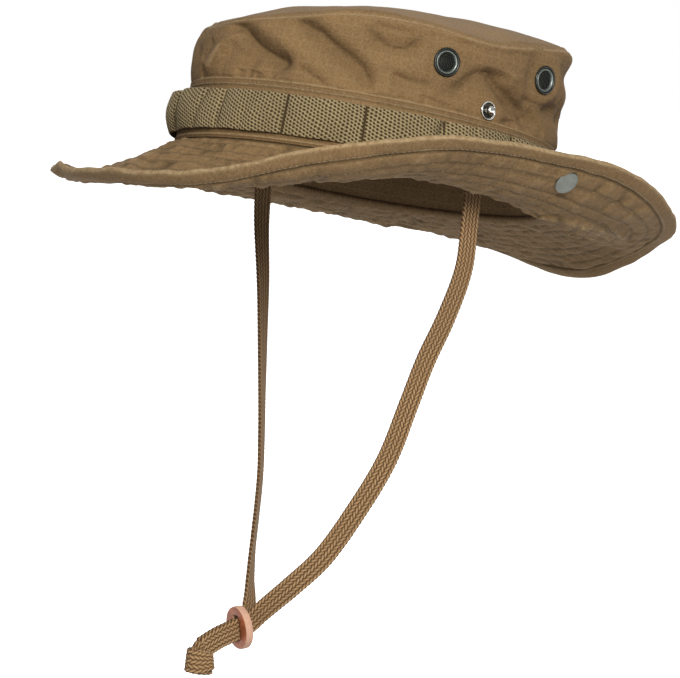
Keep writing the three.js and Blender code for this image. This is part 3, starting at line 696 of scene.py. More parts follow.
def woven_material(name, gap, mid, light):
    """Open webbing from its cloth map: dark gaps at (x / a)^2 + (y / b)^2 < 1 round each place of a
    staggered lattice, painted shade where the band behind shows through them, and bright dashes where the
    cosine of up plus half of along is high, painted highlight on the yarn crowns. Painted shade from the
    piece's relief attribute darkens the yarns towards the gap colour."""
    n = Paint(name)
    cell = sizes().webbing_cell
    along, up = n.add("SeparateXYZ", {0: n.cloth((1 / cell / 2, 1 / cell, 1))}).outputs[:2]
    apart = []
    for shift in (0.0, 0.5):
        near = [n.math("SUBTRACT", n.math("FRACT", n.plus(v, 0.5 - shift)), 0.5) for v in (along, up)]
        wide = n.math("POWER", n.times(near[0], 2 * cell / GAP_WIDE), 2.0)
        tall = n.math("POWER", n.times(near[1], cell / GAP_TALL), 2.0)
        apart.append(n.plus(wide, tall))
    yarn = n.ramp(n.math("MINIMUM", *apart), 0.5, 1.7)
    wave = n.math("COSINE", n.times(n.plus(n.math("SUBTRACT", up, 0.5), along), 2 * math.pi))
    fibre, cloud = n.grain(1700.0, 3.0, 0.6), n.grain(45.0, 3.0)
    # Painted highlight on the yarn crowns, broken by fibres.
    fibre_and_highlight = n.times(n.ramp(wave, -0.6, 1.2), n.ramp(fibre, 0.3, 0.6, 0.35, 1.0))
    base = n.mix(fibre_and_highlight, mid, light)
    base = n.mix(n.ramp(cloud, 0.3, 0.7, 0.0, 0.3), base, scaled(mid, 0.7))
    # Painted shade: where the relief attribute is low the yarns turn to the gap colour.
    base = n.mix(n.times(yarn, n.ramp(n.value("relief"), 0.05, 0.45)), gap, base)
    n.set(Base_Color=base, Roughness=0.9, Sheen_Weight=0.05, Sheen_Roughness=0.5, Specular_IOR_Level=0.2)
    n.bump(n.plus(n.times(yarn, 0.7), n.times(fibre_and_highlight, 0.5)), 0.3)
    return n.material


def metal_material(name, colour, roughness, metallic, scratch, stretch=(1, 1, 1)):
    """Plated or lacquered metal with fine handling marks in its roughness and surface."""
    n = Paint(name)
    marks, cloud = n.grain(900.0, 3.0, 0.6, stretch), n.grain(160.0, 3.0)
    dull = n.plus(n.ramp(marks, 0.3, 0.7, -scratch / 2, scratch / 2), roughness)
    dull = n.plus(dull, n.ramp(cloud, 0.3, 0.7, -0.04, 0.06))
    base = n.mix(n.ramp(cloud, 0.3, 0.7), colour, scaled(colour, 0.82))
    n.set(Base_Color=base, Metallic=metallic, Roughness=dull)
    n.bump(marks, 0.02, 0.6)
    return n.material


def leather_material(name, face, cut):
    """Waxed leather face with pores and rubs; the raw cut edge is pale and fibrous."""
    n = Paint(name)
    pores = n.add("TexVoronoi", {"Vector": n.place(), "Scale": 1500.0}).outputs["Distance"]
    rub, fibre = n.grain(260.0, 4.0, 0.6), n.grain(1100.0, 4.0, 0.7)
    waxed = n.mix(n.ramp(rub, 0.35, 0.7), scaled(face, 0.72), scaled(face, 1.2))
    raw = n.mix(n.ramp(fibre, 0.3, 0.7), scaled(cut, 0.78), cut)
    edge = n.ramp(n.value("edge"), 0.3, 0.7)
    n.set(Base_Color=n.mix(edge, waxed, raw), Roughness=n.ramp(edge, 0, 1, 0.5, 0.9))
    n.bump(n.plus(n.times(pores, 0.5), n.times(fibre, 0.8)), 0.18)
    return n.material


def plain_material(name, colour):
    """Smooth matt paint with the faintest mottling, which glows a little so that it is evenly pale."""
    n = Paint(name)
    base = n.mix(n.ramp(n.grain(3.0), 0.3, 0.7), colour, scaled(colour, 0.99))
    n.set(Base_Color=base, Roughness=0.8, Emission_Color=colour, Emission_Strength=0.72)
    return n.material


# ---- Sizes and colours a user may change ----
def length_property(name, default, description):
    return FloatProperty(name=name, default=default, unit="LENGTH", description=description)


def colour_property(name, rgb, description):
    return FloatVectorProperty(
        name=name, subtype="COLOR", size=3, min=0, max=1, default=linear(rgb), description=description
    )


class BushHatSizes(PropertyGroup):
    quilt_rows: IntProperty(name="Quilt rows", default=8, min=3, description="Stitch rows round the brim")
    stitch_pitch: length_property("Stitch pitch", 0.0027, "From one stitch to the next")
    thread: length_property("Thread", 0.0005, "Thickness of the sewing thread")
    wrinkles: FloatProperty(
        name="Wrinkles", default=1.0, subtype="FACTOR", description="How deep creases and crumple are"
    )
    webbing_cell: length_property("Webbing cell", 0.0018, "From one gap of the webbing to the next")
    lens: FloatProperty(name="Lens", default=232.94, subtype="DISTANCE_CAMERA", description="Focal length")
    floor: length_property("Floor", -0.262, "Height of the floor under the head opening")


class BushHatColours(PropertyGroup):
    canvas: colour_property("Canvas", (110, 84, 52), "Washed cotton of the crown and brim")
    # Pale colour of rubbed seams and edges, also used for painted highlight on proud folds and pillows.
    canvas_wear_and_highlight: colour_property("Worn canvas", (156, 134, 100), "Cotton where seams and edges have rubbed")
    # Colour of painted shade in grooves, folds and inner faces.
    canvas_shade: colour_property("Deep canvas", (72, 56, 32), "Cotton in grooves and folds")
    thread: colour_property("Thread", (106, 84, 54), "Sewing thread")
    webbing: colour_property("Webbing", (120, 104, 72), "Foliage webbing")
    # Colour of painted highlight on the webbing's yarn crowns.
    webbing_highlight: colour_property("Webbing crowns", (166, 150, 112), "Yarn crowns of the webbing")
    # Colour of painted shade: the band seen through the webbing's gaps.
    webbing_gap_shade: colour_property("Webbing gaps", (62, 47, 24), "Between the webbing's yarns")
    lace: colour_property("Lace", (134, 104, 70), "Braided chin lace")
    # Colour of painted highlight on the lace's yarn crowns.
    lace_highlight: colour_property("Lace crowns", (176, 144, 103), "Yarn crowns of the lace")
    # Colour of painted shade between the lace's yarns.
    lace_gap_shade: colour_property("Lace gaps", (66, 44, 22), "Between the lace's yarns")
    leather: colour_property("Leather", (160, 88, 52), "Face of the slide")
    leather_cut: colour_property("Cut leather", (200, 156, 130), "Raw edge of the slide")
    floor: colour_property("Floor", (255, 255, 255), "Floor")


def sizes():
    return bpy.context.scene.bush_hat_sizes


def colours():
    return bpy.context.scene.bush_hat_colours


def dyed(make, name, *keys):
    """The material of this name; the first call makes it, from the colours that the keys name."""
    if name in bpy.data.materials:
        return bpy.data.materials[name]
    return make(name, *(tuple(getattr(colours(), key)) for key in keys))


def cotton(name):
    return dyed(canvas_material, name, "canvas", "canvas_wear_and_highlight", "canvas_shade")


def braid():
    return dyed(braid_material, "lace_yarn", "lace_gap_shade", "lace", "lace_highlight")


# ---- Flat braid along a path ----
def curve_points(rows):
    """Points every LACE_STEP along a centripetal Catmull-Rom curve through the rows' places, the rows'
    last column, the face angle, blended straight between rows, and how far along each point lies."""
    p = np.array([r[:3] for r in rows], float)
    face = np.array([r[3] for r in rows], float)
    p = np.vstack([2 * p[0] - p[1], p, 2 * p[-1] - p[-2]])
    gap = np.sqrt(np.linalg.norm(np.diff(p, axis=0), axis=1))
    pieces, turns = [], []
    t = np.linspace(0, 1, 40, endpoint=False)[:, None]
    for i in range(1, len(p) - 2):
        d0, d1, d2 = gap[i - 1], gap[i], gap[i + 1]
        m1 = (p[i] - p[i - 1]) / d0 - (p[i + 1] - p[i - 1]) / (d0 + d1) + (p[i + 1] - p[i]) / d1
        m2 = (p[i + 1] - p[i]) / d1 - (p[i + 2] - p[i]) / (d1 + d2) + (p[i + 2] - p[i + 1]) / d2
        m1, m2 = m1 * d1, m2 * d1
        c2 = -3 * p[i] + 3 * p[i + 1] - 2 * m1 - m2
        c3 = 2 * p[i] - 2 * p[i + 1] + m1 + m2
        pieces.append(p[i] + m1 * t + c2 * t**2 + c3 * t**3)
        turns.append(face[i - 1] + (face[i] - face[i - 1]) * t[:, 0])
    points = np.vstack([*pieces, p[-2]])
    turns = np.append(np.concatenate(turns), face[-1])
    run = run_along(points)
    at = np.linspace(0, run[-1], int(run[-1] / LACE_STEP) + 1)
    even = np.stack([np.interp(at, run, points[:, i]) for i in range(3)], -1)
    return even, np.interp(at, run, turns), at


def braid_relief(along, across):
    """Slanting stitches in columns: the sine of the stitch's phase, whose slant changes side from one
    column to the next, times the column's own swell, with a round hole at each stitch's foot. From 0 in
    a gap to 1 on a crown."""
    columns = LACE["columns"]
    place = (across / LACE["width"] + 0.5) * columns
    cell = np.floor(np.clip(place, 0, columns - 1e-6))
    t = place - cell
    slant = np.where(cell % 2 == 0, 1.0, -1.0) * (t - 0.5) * 0.9
    phase = along / LACE["stitch"] + slant + cell * 0.5
    stitch = np.abs(np.sin(np.pi * phase)) ** 0.6
    swell = np.abs(np.sin(np.pi * np.clip(t, 0.04, 0.96))) ** 0.35
    column_edge = np.round(place)
    down = along / LACE["stitch"] + 0.45 * np.where(column_edge % 2 == 0, -1, 1) + cell * 0.5
    down = (down - np.round(down)) * LACE["stitch"]
    side = (place - column_edge) * LACE["width"] / columns
    return np.clip(stitch * swell - bell(down, 0.55) * bell(side, 0.5), 0, 1)


def flat_braid(name, points, faces_to, run, width, thinner=1.0):
    """Carries a flat oval section along a path. faces_to is each point's face direction; the section's
    flat sides take the braid's relief along it, and its ends close on the middle line."""
    tangent = unit(np.gradient(points, axis=0))
    across = unit(np.cross(tangent, faces_to))
    face = np.cross(across, tangent)
    flat, arc = 26, 5
    edge = LACE["width"] / 2 - LACE["edge"]
    s = np.linspace(-edge, edge, flat)
    bend = np.linspace(-np.pi / 2, np.pi / 2, arc + 2)[1:-1]
    rim = edge + LACE["edge"] * np.cos(bend)
    w = np.concatenate([s, rim, s[::-1], -rim])
    f = np.concatenate([np.full(flat, -1.0), np.sin(bend), np.full(flat, 1.0), -np.sin(bend)])
    relief = braid_relief(run[:, None], w[None, :])
    thick = thinner * LACE["thickness"] / 2 - 0.12 + LACE["relief"] * (relief - 0.55)
    scallop = 1 + 0.02 * np.sin(2 * np.pi * run / LACE["stitch"])
    reach = w[None, :] * (width / LACE["width"] * scallop)[:, None]
    ring = points[:, None] + across[:, None] * reach[..., None] + face[:, None] * (f * thick)[..., None]
    # close both ends with a row drawn in to the middle line
    first, last = (points[i] + (ring[i] - points[i]) * 0.02 for i in (0, -1))
    ring = np.concatenate([first[None], ring, last[None]])
    relief = np.concatenate([relief[:1] * 0.3, relief, relief[-1:] * 0.3])
    return put_grid(name, ring * MM, braid(), "braid", wrap_rows=False, layers={"relief": relief})


def compass(turn):
    """Level directions from compass angles in degrees."""
    a = np.radians(turn)
    return np.stack([np.cos(a), np.sin(a), np.zeros_like(a)], -1)


# ---- Stage: floor, light and camera ----
# Width and height of the view, the place in it of the head opening's middle, and the camera's sensor.
VIEW, AIM, SENSOR = (680, 678), (364, 180), 36.0
# The camera: degrees round from the front towards the wearer's left, degrees up, and metres away.
AZIMUTH, ELEVATION, DISTANCE = 50.0, 1.0, 2.2
# Name, place, size and watts of each lamp; all look at the head opening.
LAMPS = [("key", (1.9, -1.1, 0.8), 1.0, 64.0), ("back", (-1.5, 1.7, 1.2), 1.2, 24.0)]
FLOOR_REACH = 60.0


def direction(azimuth, elevation):
    """A direction from its angle round the vertical, in radians from +X, and its slope."""
    flat = math.cos(elevation)
    return Vector((math.cos(azimuth) * flat, math.sin(azimuth) * flat, math.sin(elevation)))


def studio_world():
    """Soft white light, dimmer from the sides than from above and below. The view itself is white."""
    world = bpy.data.worlds.new("studio")
    world.use_nodes = True
    n = Nodes(world.node_tree)
    axes = n.add("SeparateXYZ", {0: n.add("TexCoord").outputs["Generated"]})
    steep = n.math("ABSOLUTE", axes.outputs["Z"])
    soft = n.add("MapRange", {"Value": steep, "To Min": 0.22, "To Max": 0.78})
    seen = n.add("LightPath").outputs["Is Camera Ray"]
    level = n.add("MapRange", {"Value": seen, "To Min": soft.outputs[0], "To Max": 1.0})
    background = world.node_tree.nodes["Background"]
    n.put(background.inputs[0], (1, 1, 1))
    n.put(background.inputs[1], level.outputs[0])
    return world


class BUSHHAT_OT_stage(Operator):
    """Floor, soft lights and the camera"""

    bl_idname = "bushhat.stage"
    bl_label = "Stage"

    def execute(self, context):
        scene, r, level = context.scene, FLOOR_REACH, sizes().floor
        mesh = bpy.data.meshes.new("floor")
        corners = [(-r, -r, level), (r, -r, level), (r, r, level), (-r, r, level)]
        mesh.from_pydata(corners, [], [(0, 1, 2, 3)])
        mesh.materials.append(dyed(plain_material, "floor_paint", "floor"))
        floor = put_object("floor", mesh)
        floor.visible_diffuse = False
        for name, at, size, watts in LAMPS:
            lamp = bpy.data.lights.new(name, "AREA")
            lamp.shape, lamp.size, lamp.energy = "DISK", size, watts
            put_object(name, lamp, at, -Vector(at))
        scene.world = studio_world()
        scene.view_settings.view_transform = "Standard"

        back = direction(math.radians(AZIMUTH - 90), math.radians(ELEVATION))
        focal = sizes().lens / SENSOR * VIEW[0]
        yaw = math.atan((AIM[0] - VIEW[0] / 2) / focal)
        pitch = math.atan((VIEW[1] / 2 - AIM[1]) / focal)
        look = direction(math.atan2(-back.y, -back.x) + yaw, math.asin(-back.z) - pitch)
        lens = bpy.data.cameras.new("camera")
        lens.lens, lens.sensor_width = sizes().lens, SENSOR
        scene.camera = put_object("camera", lens, back * DISTANCE, look)
        return {"FINISHED"}


# ---- Chin strap ----
def slide_point(x, y, z):
    """From the slide's own frame, +z out of its rear face, to the hat's, in millimetres: leant about X,
    then turned about Z."""
    a, b = math.radians(90 + SLIDE_PLACE["lean"]), math.radians(SLIDE_PLACE["turn"])
    at = SLIDE_PLACE["at"]
    back = y * math.cos(a) - z * math.sin(a)
    return np.stack([
        x * math.cos(b) - back * math.sin(b) + at[0],
        x * math.sin(b) + back * math.cos(b) + at[1],
        y * math.sin(a) + z * math.cos(a) + at[2],
    ], -1)


def make_slide():
    """A leather disc with one slot: each ring of points runs from the slot's wall over one face, round
    the rim and back over the other face, and the slot is an oval-cornered box."""
    angle = around(ROUND["slide"])[0]
    cx, cy = np.cos(np.radians(angle)), np.sin(np.radians(angle))
    power = 5.0
    slot = np.abs(2 * cx / SLIDE["slot_width"]) ** power + np.abs(2 * cy / SLIDE["slot_height"]) ** power
    slot = slot ** (-1 / power)
    half = SLIDE["thickness"] / 2
    rub = 0.12 * waves(angle, 26, 0, 61)
    # share from slot to rim, level as a share of half the thickness, and how raw the leather is there
    section = [
        (0.0, -0.7, 1), (0.02, -0.94, 0.6), (0.06, -1, 0), (0.3, -1.0, 0), (0.6, -1.0, 0), (0.85, -1, 0),
        (0.93, -0.97, 0.1), (0.975, -0.86, 0.8), (1.0, -0.6, 1), (1.01, -0.2, 1), (1.0, 0.1, 1),
        (1.008, 0.4, 1), (0.99, 0.7, 1), (0.96, 0.9, 0.8), (0.9, 1, 0.2), (0.6, 1, 0.1), (0.3, 1, 0.1),
        (0.04, 0.97, 0.3), (0.0, 0.75, 1), (0.0, 0.0, 1),
    ]
    share, level, raw = (np.array(c)[:, None] for c in zip(*section))
    radius = slot + (SLIDE["radius"] - slot + rub) * share
    dent = 0.10 * waves(angle, 14, share * 5, 62) * (np.abs(level) > 0.9)
    points = slide_point(radius * cx, radius * cy, level * half + dent)
    layers = {"edge": np.broadcast_to(raw, radius.shape)}
    leather = dyed(leather_material, "waxed_leather", "leather", "leather_cut")
    thing = put_grid("slide_disc", points * MM, leather, "slide_leather", layers=layers)
    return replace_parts(thing, "cord_slide")


# The knot: the laces' ends turn once round an upright axis.
KNOT_TURN = {
    "middle": (0.0, -104.8, -233.6), "radius": 4.4, "start": -60.0, "turns": 1.24, "drop": 0.6,
    "tilt": 0.9,
}
# Where the left lace goes on into the knot, past its measured end; the right one mirrors it.
KNOT_TAIL = [
    (1.3, -101.2, -226.0), (1.25, -103.6, -227.3), (1.1, -105.6, -229.4), (0.9, -106.4, -232.0),
    (0.8, -106.6, -236.0),
]


def make_knot():
    """Flat braid wound on an upright spiral whose radius grows evenly as it turns. Its height follows
    the cosine of the angle, highest on the left, and its end stands away."""
    k = KNOT_TURN
    count = 150
    t = np.linspace(0, 1, count)
    angle = np.radians(k["start"] + 360 * k["turns"] * t)
    end = smooth((t - 0.86) / 0.14)
    radius = k["radius"] + 1.9 * t + 1.5 * end
    outward = np.stack([np.cos(angle), np.sin(angle), np.full(count, 0.12)], -1)
    points = np.array(k["middle"]) + outward * radius[:, None] * [[0.82, 1.12, 1.0]]
    points[:, 2] += k["drop"] * (0.5 - t) + k["tilt"] * np.cos(angle - np.radians(230)) + 0.6 * end
    width = 12.6 - 1.6 * t - 3.0 * end
    return flat_braid("knot_wrap", points, outward, run_along(points), width)


def make_tail(name, side):
    """A lace's last stretch, from just inside its end down into the knot, a hair thinner than it."""
    points, turn, run = curve_points([(side * x, y, z, 0) for x, y, z in KNOT_TAIL])
    return flat_braid(name, points, compass(turn), run, np.linspace(9.7, 6.5, len(points)), 0.94)


class BUSHHAT_OT_chin_strap(Operator):
    """Both laces of the chin strap, the leather slide on them and the knot that joins them"""

    bl_idname = "bushhat.chin_strap"
    bl_label = "Chin strap"

    def execute(self, context):
        slide, wrap = make_slide(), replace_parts(make_knot(), "lace_knot")
        on_left = [slide, wrap, make_tail("knot_tail_left", 1), make_tail("knot_tail_right", -1)]
        for name, rows, on_it in (("lace_left", LACE_LEFT, on_left), ("lace_right", LACE_RIGHT, [])):
            points, turn, run = curve_points(rows)
            width = np.full(len(run), LACE["width"] * LACE_SWELL)
            lace = flat_braid(name, points, compass(turn), run, width)
            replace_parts(lace, "chin_" + name)
        return {"FINISHED"}


# ---- Cloth, webbing and stitches ----
def cloth_map(across, up):
    """The cloth map from millimetres along and up the cloth; its first row comes again at the end."""
    place = np.stack(np.broadcast_arrays(across, up), -1) * MM
    return np.concatenate([place, place[:1]])


def put_cloth(name, points, cloth, uv, wear, deep, node):
    """A sewn piece of canvas in place of a node; its two attributes pick out where it is pale, from rubbing
    and painted highlight, and where it is dark with painted shade.
    """
    layers = {"wear": wear, "deep": deep}
    layers = {key: np.broadcast_to(value, points.shape[:2]) for key, value in layers.items()}
    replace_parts(put_grid(name, worn(points), cotton(cloth), "canvas", uv=uv, layers=layers), node)


class BUSHHAT_OT_crown(Operator):
    """Crown side and tip, in creased canvas"""

    bl_idname = "bushhat.crown"
    bl_label = "Crown"

    def execute(self, context):
        angles, closed = around(ROUND["cloth"])
        share = np.concatenate([
            np.linspace(0, 0.1, 10)[:-1], np.linspace(0.1, 0.93, 52), np.linspace(0.93, 1, 8)[1:],
        ])
        share, lift = wall_rows(share, 10, WALL)
        rise = column(CROWN, 0, angles) - BAND_TOP
        height = BAND_TOP + rise * share + GAP * 1.2 * smooth(share * 20 - 19)
        points = crown_place(angles, height, lift, sizes().wrinkles)
        sunk = crown_folds(angles, height)
        # Painted highlight on fold ridges that stand proud; the two seam edges are rubbed pale.
        proud = np.clip(-sunk - 0.5, 0, 1) * 0.5
        edges = 0.75 * bell((1 - share) * rise, 0.45) + 0.35 * bell(share * rise, 0.7)
        wear = np.clip(edges + proud, 0, 1) * (lift > -0.5)
        # Painted shade: darker in the folds and creases, and on the inner face.
        deep = np.clip((sunk + pressed(FOLDS, angles, height)) * 0.06 - 0.1, 0, 0.3) + 0.2 * (lift < -1)
        uv = cloth_map(closed * ARC, BAND_TOP + (column(CROWN, 0, closed) - BAND_TOP) * share)
        put_cloth("crown_wall", points, "crown_cotton", uv, wear, deep, "crown_side")

        rows = np.concatenate([np.linspace(0.004, 0.9, 44), np.linspace(0.9, 1.0, 14)[1:]])
        under = rows[::6]
        share = np.concatenate([under, rows[::-1]])[:, None]
        is_top = np.concatenate([np.zeros(len(under)), np.ones(len(rows))])[:, None]
        # a low ridge and then a groove follow the seam just inside the edge
        inside = (1 - share) * TIP_REACH
        ridge = 0.15 * bell(inside - 1.2, 0.9) - 0.4 * bell(inside - TIP_STITCH, 0.6)
        droop = -1.3 * smooth(1 - inside / 2.2)
        points = tip_place(angles, share, is_top * (WALL - 0.5 + ridge + droop))
        # Painted shade: darker in the topstitching groove and on the under face.
        deep = 0.3 * bell(inside - TIP_STITCH, 0.7) * is_top + 0.2 * (1 - is_top)
        rim = hat_point(closed, column(CROWN, 2, closed), 0.0)
        uv = cloth_map(rim[..., 0] * share, rim[..., 1] * share)
        put_cloth("crown_top", points, "crown_cotton", uv, bell(inside, 0.5) * is_top, deep, "crown_tip")
        return {"FINISHED"}


def bells(x, places, width):
    """The sum of bells at several places."""
    return sum(bell(x - place, width) for place in places)


def band_relief(angle, height):
    """The band's top few millimetres are doubled and topstitched; small ripples run up it."""
    doubled = 0.6 * smooth((height - BAND_DOUBLED) / 0.4)
    ripple = 0.12 * waves(angle, 120, height / 9, 71)
    return doubled - 0.28 * bell(height - BAND_STITCH, 0.3) + 0.55 * bell(height - BAND_FOOT, 0.5) + ripple


def band_place(angle, height, lift):
    return hat_point(angle, band_outset(height) + band_relief(angle, height) + lift, height)


class BUSHHAT_OT_band(Operator):
    """Lower band between the brim seam and the seam under the crown side"""

    bl_idname = "bushhat.band"
    bl_label = "Lower band"

    def execute(self, context):
        angles, closed = around(ROUND["band"])
        bottom, top = BRIM_WALL / 2 - 0.3, BAND_TOP + 0.2
        height = np.concatenate([
            np.linspace(bottom, 6, 24), np.linspace(6, 26, 8)[1:], np.linspace(26, top, 28)[1:],
        ])
        height, lift = wall_rows(height, 8, WALL)
        wear = bells(height, BAND_RIDGES, 0.4) * 0.6 * (lift > -0.5)
        # Painted shade: darker in the band's grooves.
        deep = np.clip(0.45 * bells(height, BAND_GROOVES, 0.35), 0, 0.6)
        points, uv = band_place(angles, height, lift), cloth_map(closed * ARC, height)
        put_cloth("band_wall", points, "crown_cotton", uv, wear, deep, "lower_band")
        return {"FINISHED"}


def webbing_bow(angle):
    """How far the webbing stands off the band: nothing at a bar tack, then a half sine to a low power,
    and one loop that hangs loose."""
    loop = (angle - LOOP_START) * (LOOPS / 360)
    each = 0.6 + 0.8 * np.random.default_rng(9).uniform(0, 1, LOOPS)[np.floor(loop).astype(int) % LOOPS]
    slack = np.abs(np.sin(np.pi * loop)) ** 0.6 * LOOP_SLACK * each
    away = turn_to(angle, SLACK_LOOP["angle"]) / SLACK_LOOP["half"]
    return slack + SLACK_LOOP["more"] * smooth(1 - np.abs(away))


def weave_map(angle, height, cell):
    """A place in the weave, along and up, in millimetres; a whole number of cell pairs goes round, and
    the yarns stray a little."""
    pairs = round(360 * ARC / cell / 2)
    stray = 0.35 * waves(angle, 140, height / 3.0, 83)
    return angle / 360 * 2 * pairs * cell + stray, height + 0.6 * stray


def weave_relief(along, up, cell):
    """Open weave, 0 in a gap and 1 on a yarn's crown. Gaps are small ovals on a staggered lattice, a
    cell apart both ways; between them yarns slant down as the cosine of up plus half of along."""
    def off(x, step):
        return x - np.round(x / step) * step
    holes = sum(
        bell(off(along - a, 2 * cell), 0.42) * bell(off(up - u, cell), 0.48)
        for a, u in ((0, 0), (cell, cell / 2))
    )
    slant = np.cos(2 * np.pi * (up - cell / 2 + along / 2) / cell)
    ridge = np.cos(2 * np.pi * along / cell)
    return np.clip(0.60 + 0.26 * slant - 0.10 * ridge - 0.95 * holes, 0, 1)


# Dents in the webbing: angle, how far it leans along the band from bottom to top, half width, depth.
WEBBING_DENTS = [
    (-85.5, 1.5, 1.3, 1.0), (-94.0, 8.0, 2.6, 1.0), (-110.0, 6.0, 2.8, 1.3), (-74.0, 6.0, 2.4, 0.75),
    (-42.0, 5.0, 2.6, 0.9), (-15.5, 5.0, 2.2, 1.1), (-3.0, -4.0, 2.0, 0.9), (20.0, 5.0, 2.4, 0.8),
    (61.0, -5.0, 2.6, 0.9), (104.0, 6.0, 2.4, 0.8), (151.0, -4.0, 2.4, 0.9), (198.0, 5.0, 2.4, 0.8),
]


def up_webbing(height):
    return (height - WEBBING["bottom"]) / (WEBBING["top"] - WEBBING["bottom"])


def webbing_dent(angle, height):
    """How deep the webbing is dented: the sum of bells round short slanting lines."""
    t = up_webbing(height)
    return sum(
        deep * bell(turn_to(angle, place) * ARC - lean * (t - 0.5), wide)
        for place, lean, wide, deep in WEBBING_DENTS
    )


def webbing_place(angle, height, lift):
    """A place on the webbing, which bows off the band between its tacks, more at its top. It ripples
    along its length, and rides up at the wearer's left towards the back."""
    t = up_webbing(height)
    away = webbing_bow(angle) * (0.4 + 0.9 * t + 0.5 * np.sin(np.pi * np.clip(t, 0, 1)))
    away = GAP + WEBBING["wall"] + np.maximum(away - webbing_dent(angle, height), -0.15)
    wave = 0.55 * waves(angle, 45, t * 1.2, 81, 0.4 * t)
    ride = 0.3 * waves(angle, 40, 0, 82) + 2.0 * bell(turn_to(angle, 20), 26)
    return hat_point(angle, band_outset(height) + away + wave + lift, height + ride)


class BUSHHAT_OT_webbing(Operator):
    """Foliage webbing with its bar tacks"""

    bl_idname = "bushhat.webbing"
    bl_label = "Foliage webbing"

    def execute(self, context):
        angles, closed = around(ROUND["webbing"])
        cell = sizes().webbing_cell / MM
        share, lift = wall_rows(np.linspace(0, 1, 56), 5, WEBBING["wall"])
        height = WEBBING["bottom"] + (WEBBING["top"] - WEBBING["bottom"]) * share
        relief = weave_relief(*weave_map(angles, height, cell), cell)
        relief = np.clip(relief + 0.16 * waves(angles, 70, height / 6.0, 84), 0, 1)
        loop = (angles - LOOP_START) * (LOOPS / 360)
        from_tack = np.abs(loop - np.round(loop)) / (LOOPS / 360) * ARC
        tack = bell(from_tack, 0.65)
        outer = lift > -0.5
        selvedge = smooth(np.minimum(share, 1 - share) / 0.03)
        push = np.where(outer, 0.5 * (relief - 0.6) * selvedge - 0.5 * tack, 0)
        points = webbing_place(angles, height, lift + push)
        # Painted shade, kept in the relief attribute: darker on the tacks, in the valleys beside them, in
        # the dents and on the inner face.
        valley = bell(from_tack, 2.6) * (0.5 + 0.5 * noise(loop, 0 * loop, 85, LOOPS))
        shade = (1 - 0.75 * tack - 0.6 * valley) * np.where(outer, 1, 0.4)
        shade = shade * (1 - 0.72 * np.clip(webbing_dent(angles, height), 0, 1))
        yarn = dyed(woven_material, "webbing_yarn", "webbing_gap_shade", "webbing", "webbing_highlight")
        uv = cloth_map(*weave_map(closed, height, cell))
        thing = put_grid("webbing", worn(points), yarn, "webbing", uv=uv, layers={"relief": shade})
        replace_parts(thing, "foliage_band")
        return {"FINISHED"}


def brim_rows(angles):
    """Where the hem starts, and the share of every row: out under the brim, round its very edge and
    back over it."""
    start = hem_start(angles)
    inner = np.linspace(0, 1, 51, endpoint=False)[:, None] * start
    out = np.concatenate([inner, start + (1 - start) * HEM_ROWS])
    return start, np.concatenate([out, np.full(angles.shape, NOSE), out[::-1]])


class BUSHHAT_OT_brim(Operator):
    """Quilted brim with its turned hem"""

    bl_idname = "bushhat.brim"
    bl_label = "Brim"

    def execute(self, context):
        angles, closed = around(ROUND["cloth"])
        rows = sizes().quilt_rows
        start, shares = brim_rows(angles)
        share = shares[: len(shares) // 2]
        under = -brim_relief(angles, share, -1, rows)
        over = brim_relief(angles, share, 1, rows)
        lifts = np.concatenate([under, np.zeros(angles.shape), over[::-1]])
        back = hat_point(angles, -WALL, np.array([[BRIM_WALL / 2], [0.0], [-BRIM_WALL / 2]]))
        points = np.concatenate([brim_place(angles, shares, lifts), back])

        from_edge = (1 - shares) / (1 - start) * HEM_WIDTH
        place = shares / start * rows
        from_row = np.abs(place - np.round(place)) * column(BRIM, 0, angles) / rows
        quilted = smooth((start - shares) * 60 + 0.3)
        # Painted highlight on the underside's folds, where pillows stand proud and beside each row; the
        # hem's edges are rubbed pale.
        folded = np.clip(creased(BRIM_FOLDS, angles, shares, *FOLD_SCALE) - 1.9, 0, 1) * (lifts < 0)
        stands = np.abs(lifts) - BRIM_WALL / 2
        proud, low = np.clip(stands - 0.4, 0, 1), np.clip(-0.25 - stands, 0, 1)
        wear = (0.6 * folded + 0.4 * proud + 0.1 * bell(from_row - 1.3, 0.6)) * quilted
        wear = wear + 0.9 * bell(from_edge, 0.8) + 0.55 * bell(from_edge - HEM_WIDTH + 0.8, 0.35)
        # Painted shade: darker along the stitch rows, more so underneath, in low places between pillows and
        # along the hem's inner line.
        deep = ((0.65 + 0.3 * (lifts < 0)) * bell(from_row, 0.6) + 0.85 * low) * quilted
        deep = deep + 0.6 * bell(from_edge - HEM_WIDTH, 0.5)
        pad = np.zeros((len(back), angles.shape[1]))
        wear = np.concatenate([np.clip(wear, 0, 1), pad])
        deep = np.concatenate([np.clip(deep, 0, 0.85), pad])

        shares = brim_rows(closed)[1]
        shares = np.concatenate([shares, np.zeros((len(back), closed.shape[1]))])
        reach = hat_point(closed, column(BRIM, 0, closed) * shares, 0.0)
        uv = cloth_map(reach[..., 0], reach[..., 1])
        put_cloth("brim_cloth", points, "brim_cotton", uv, wear, deep, "brim")
        return {"FINISHED"}


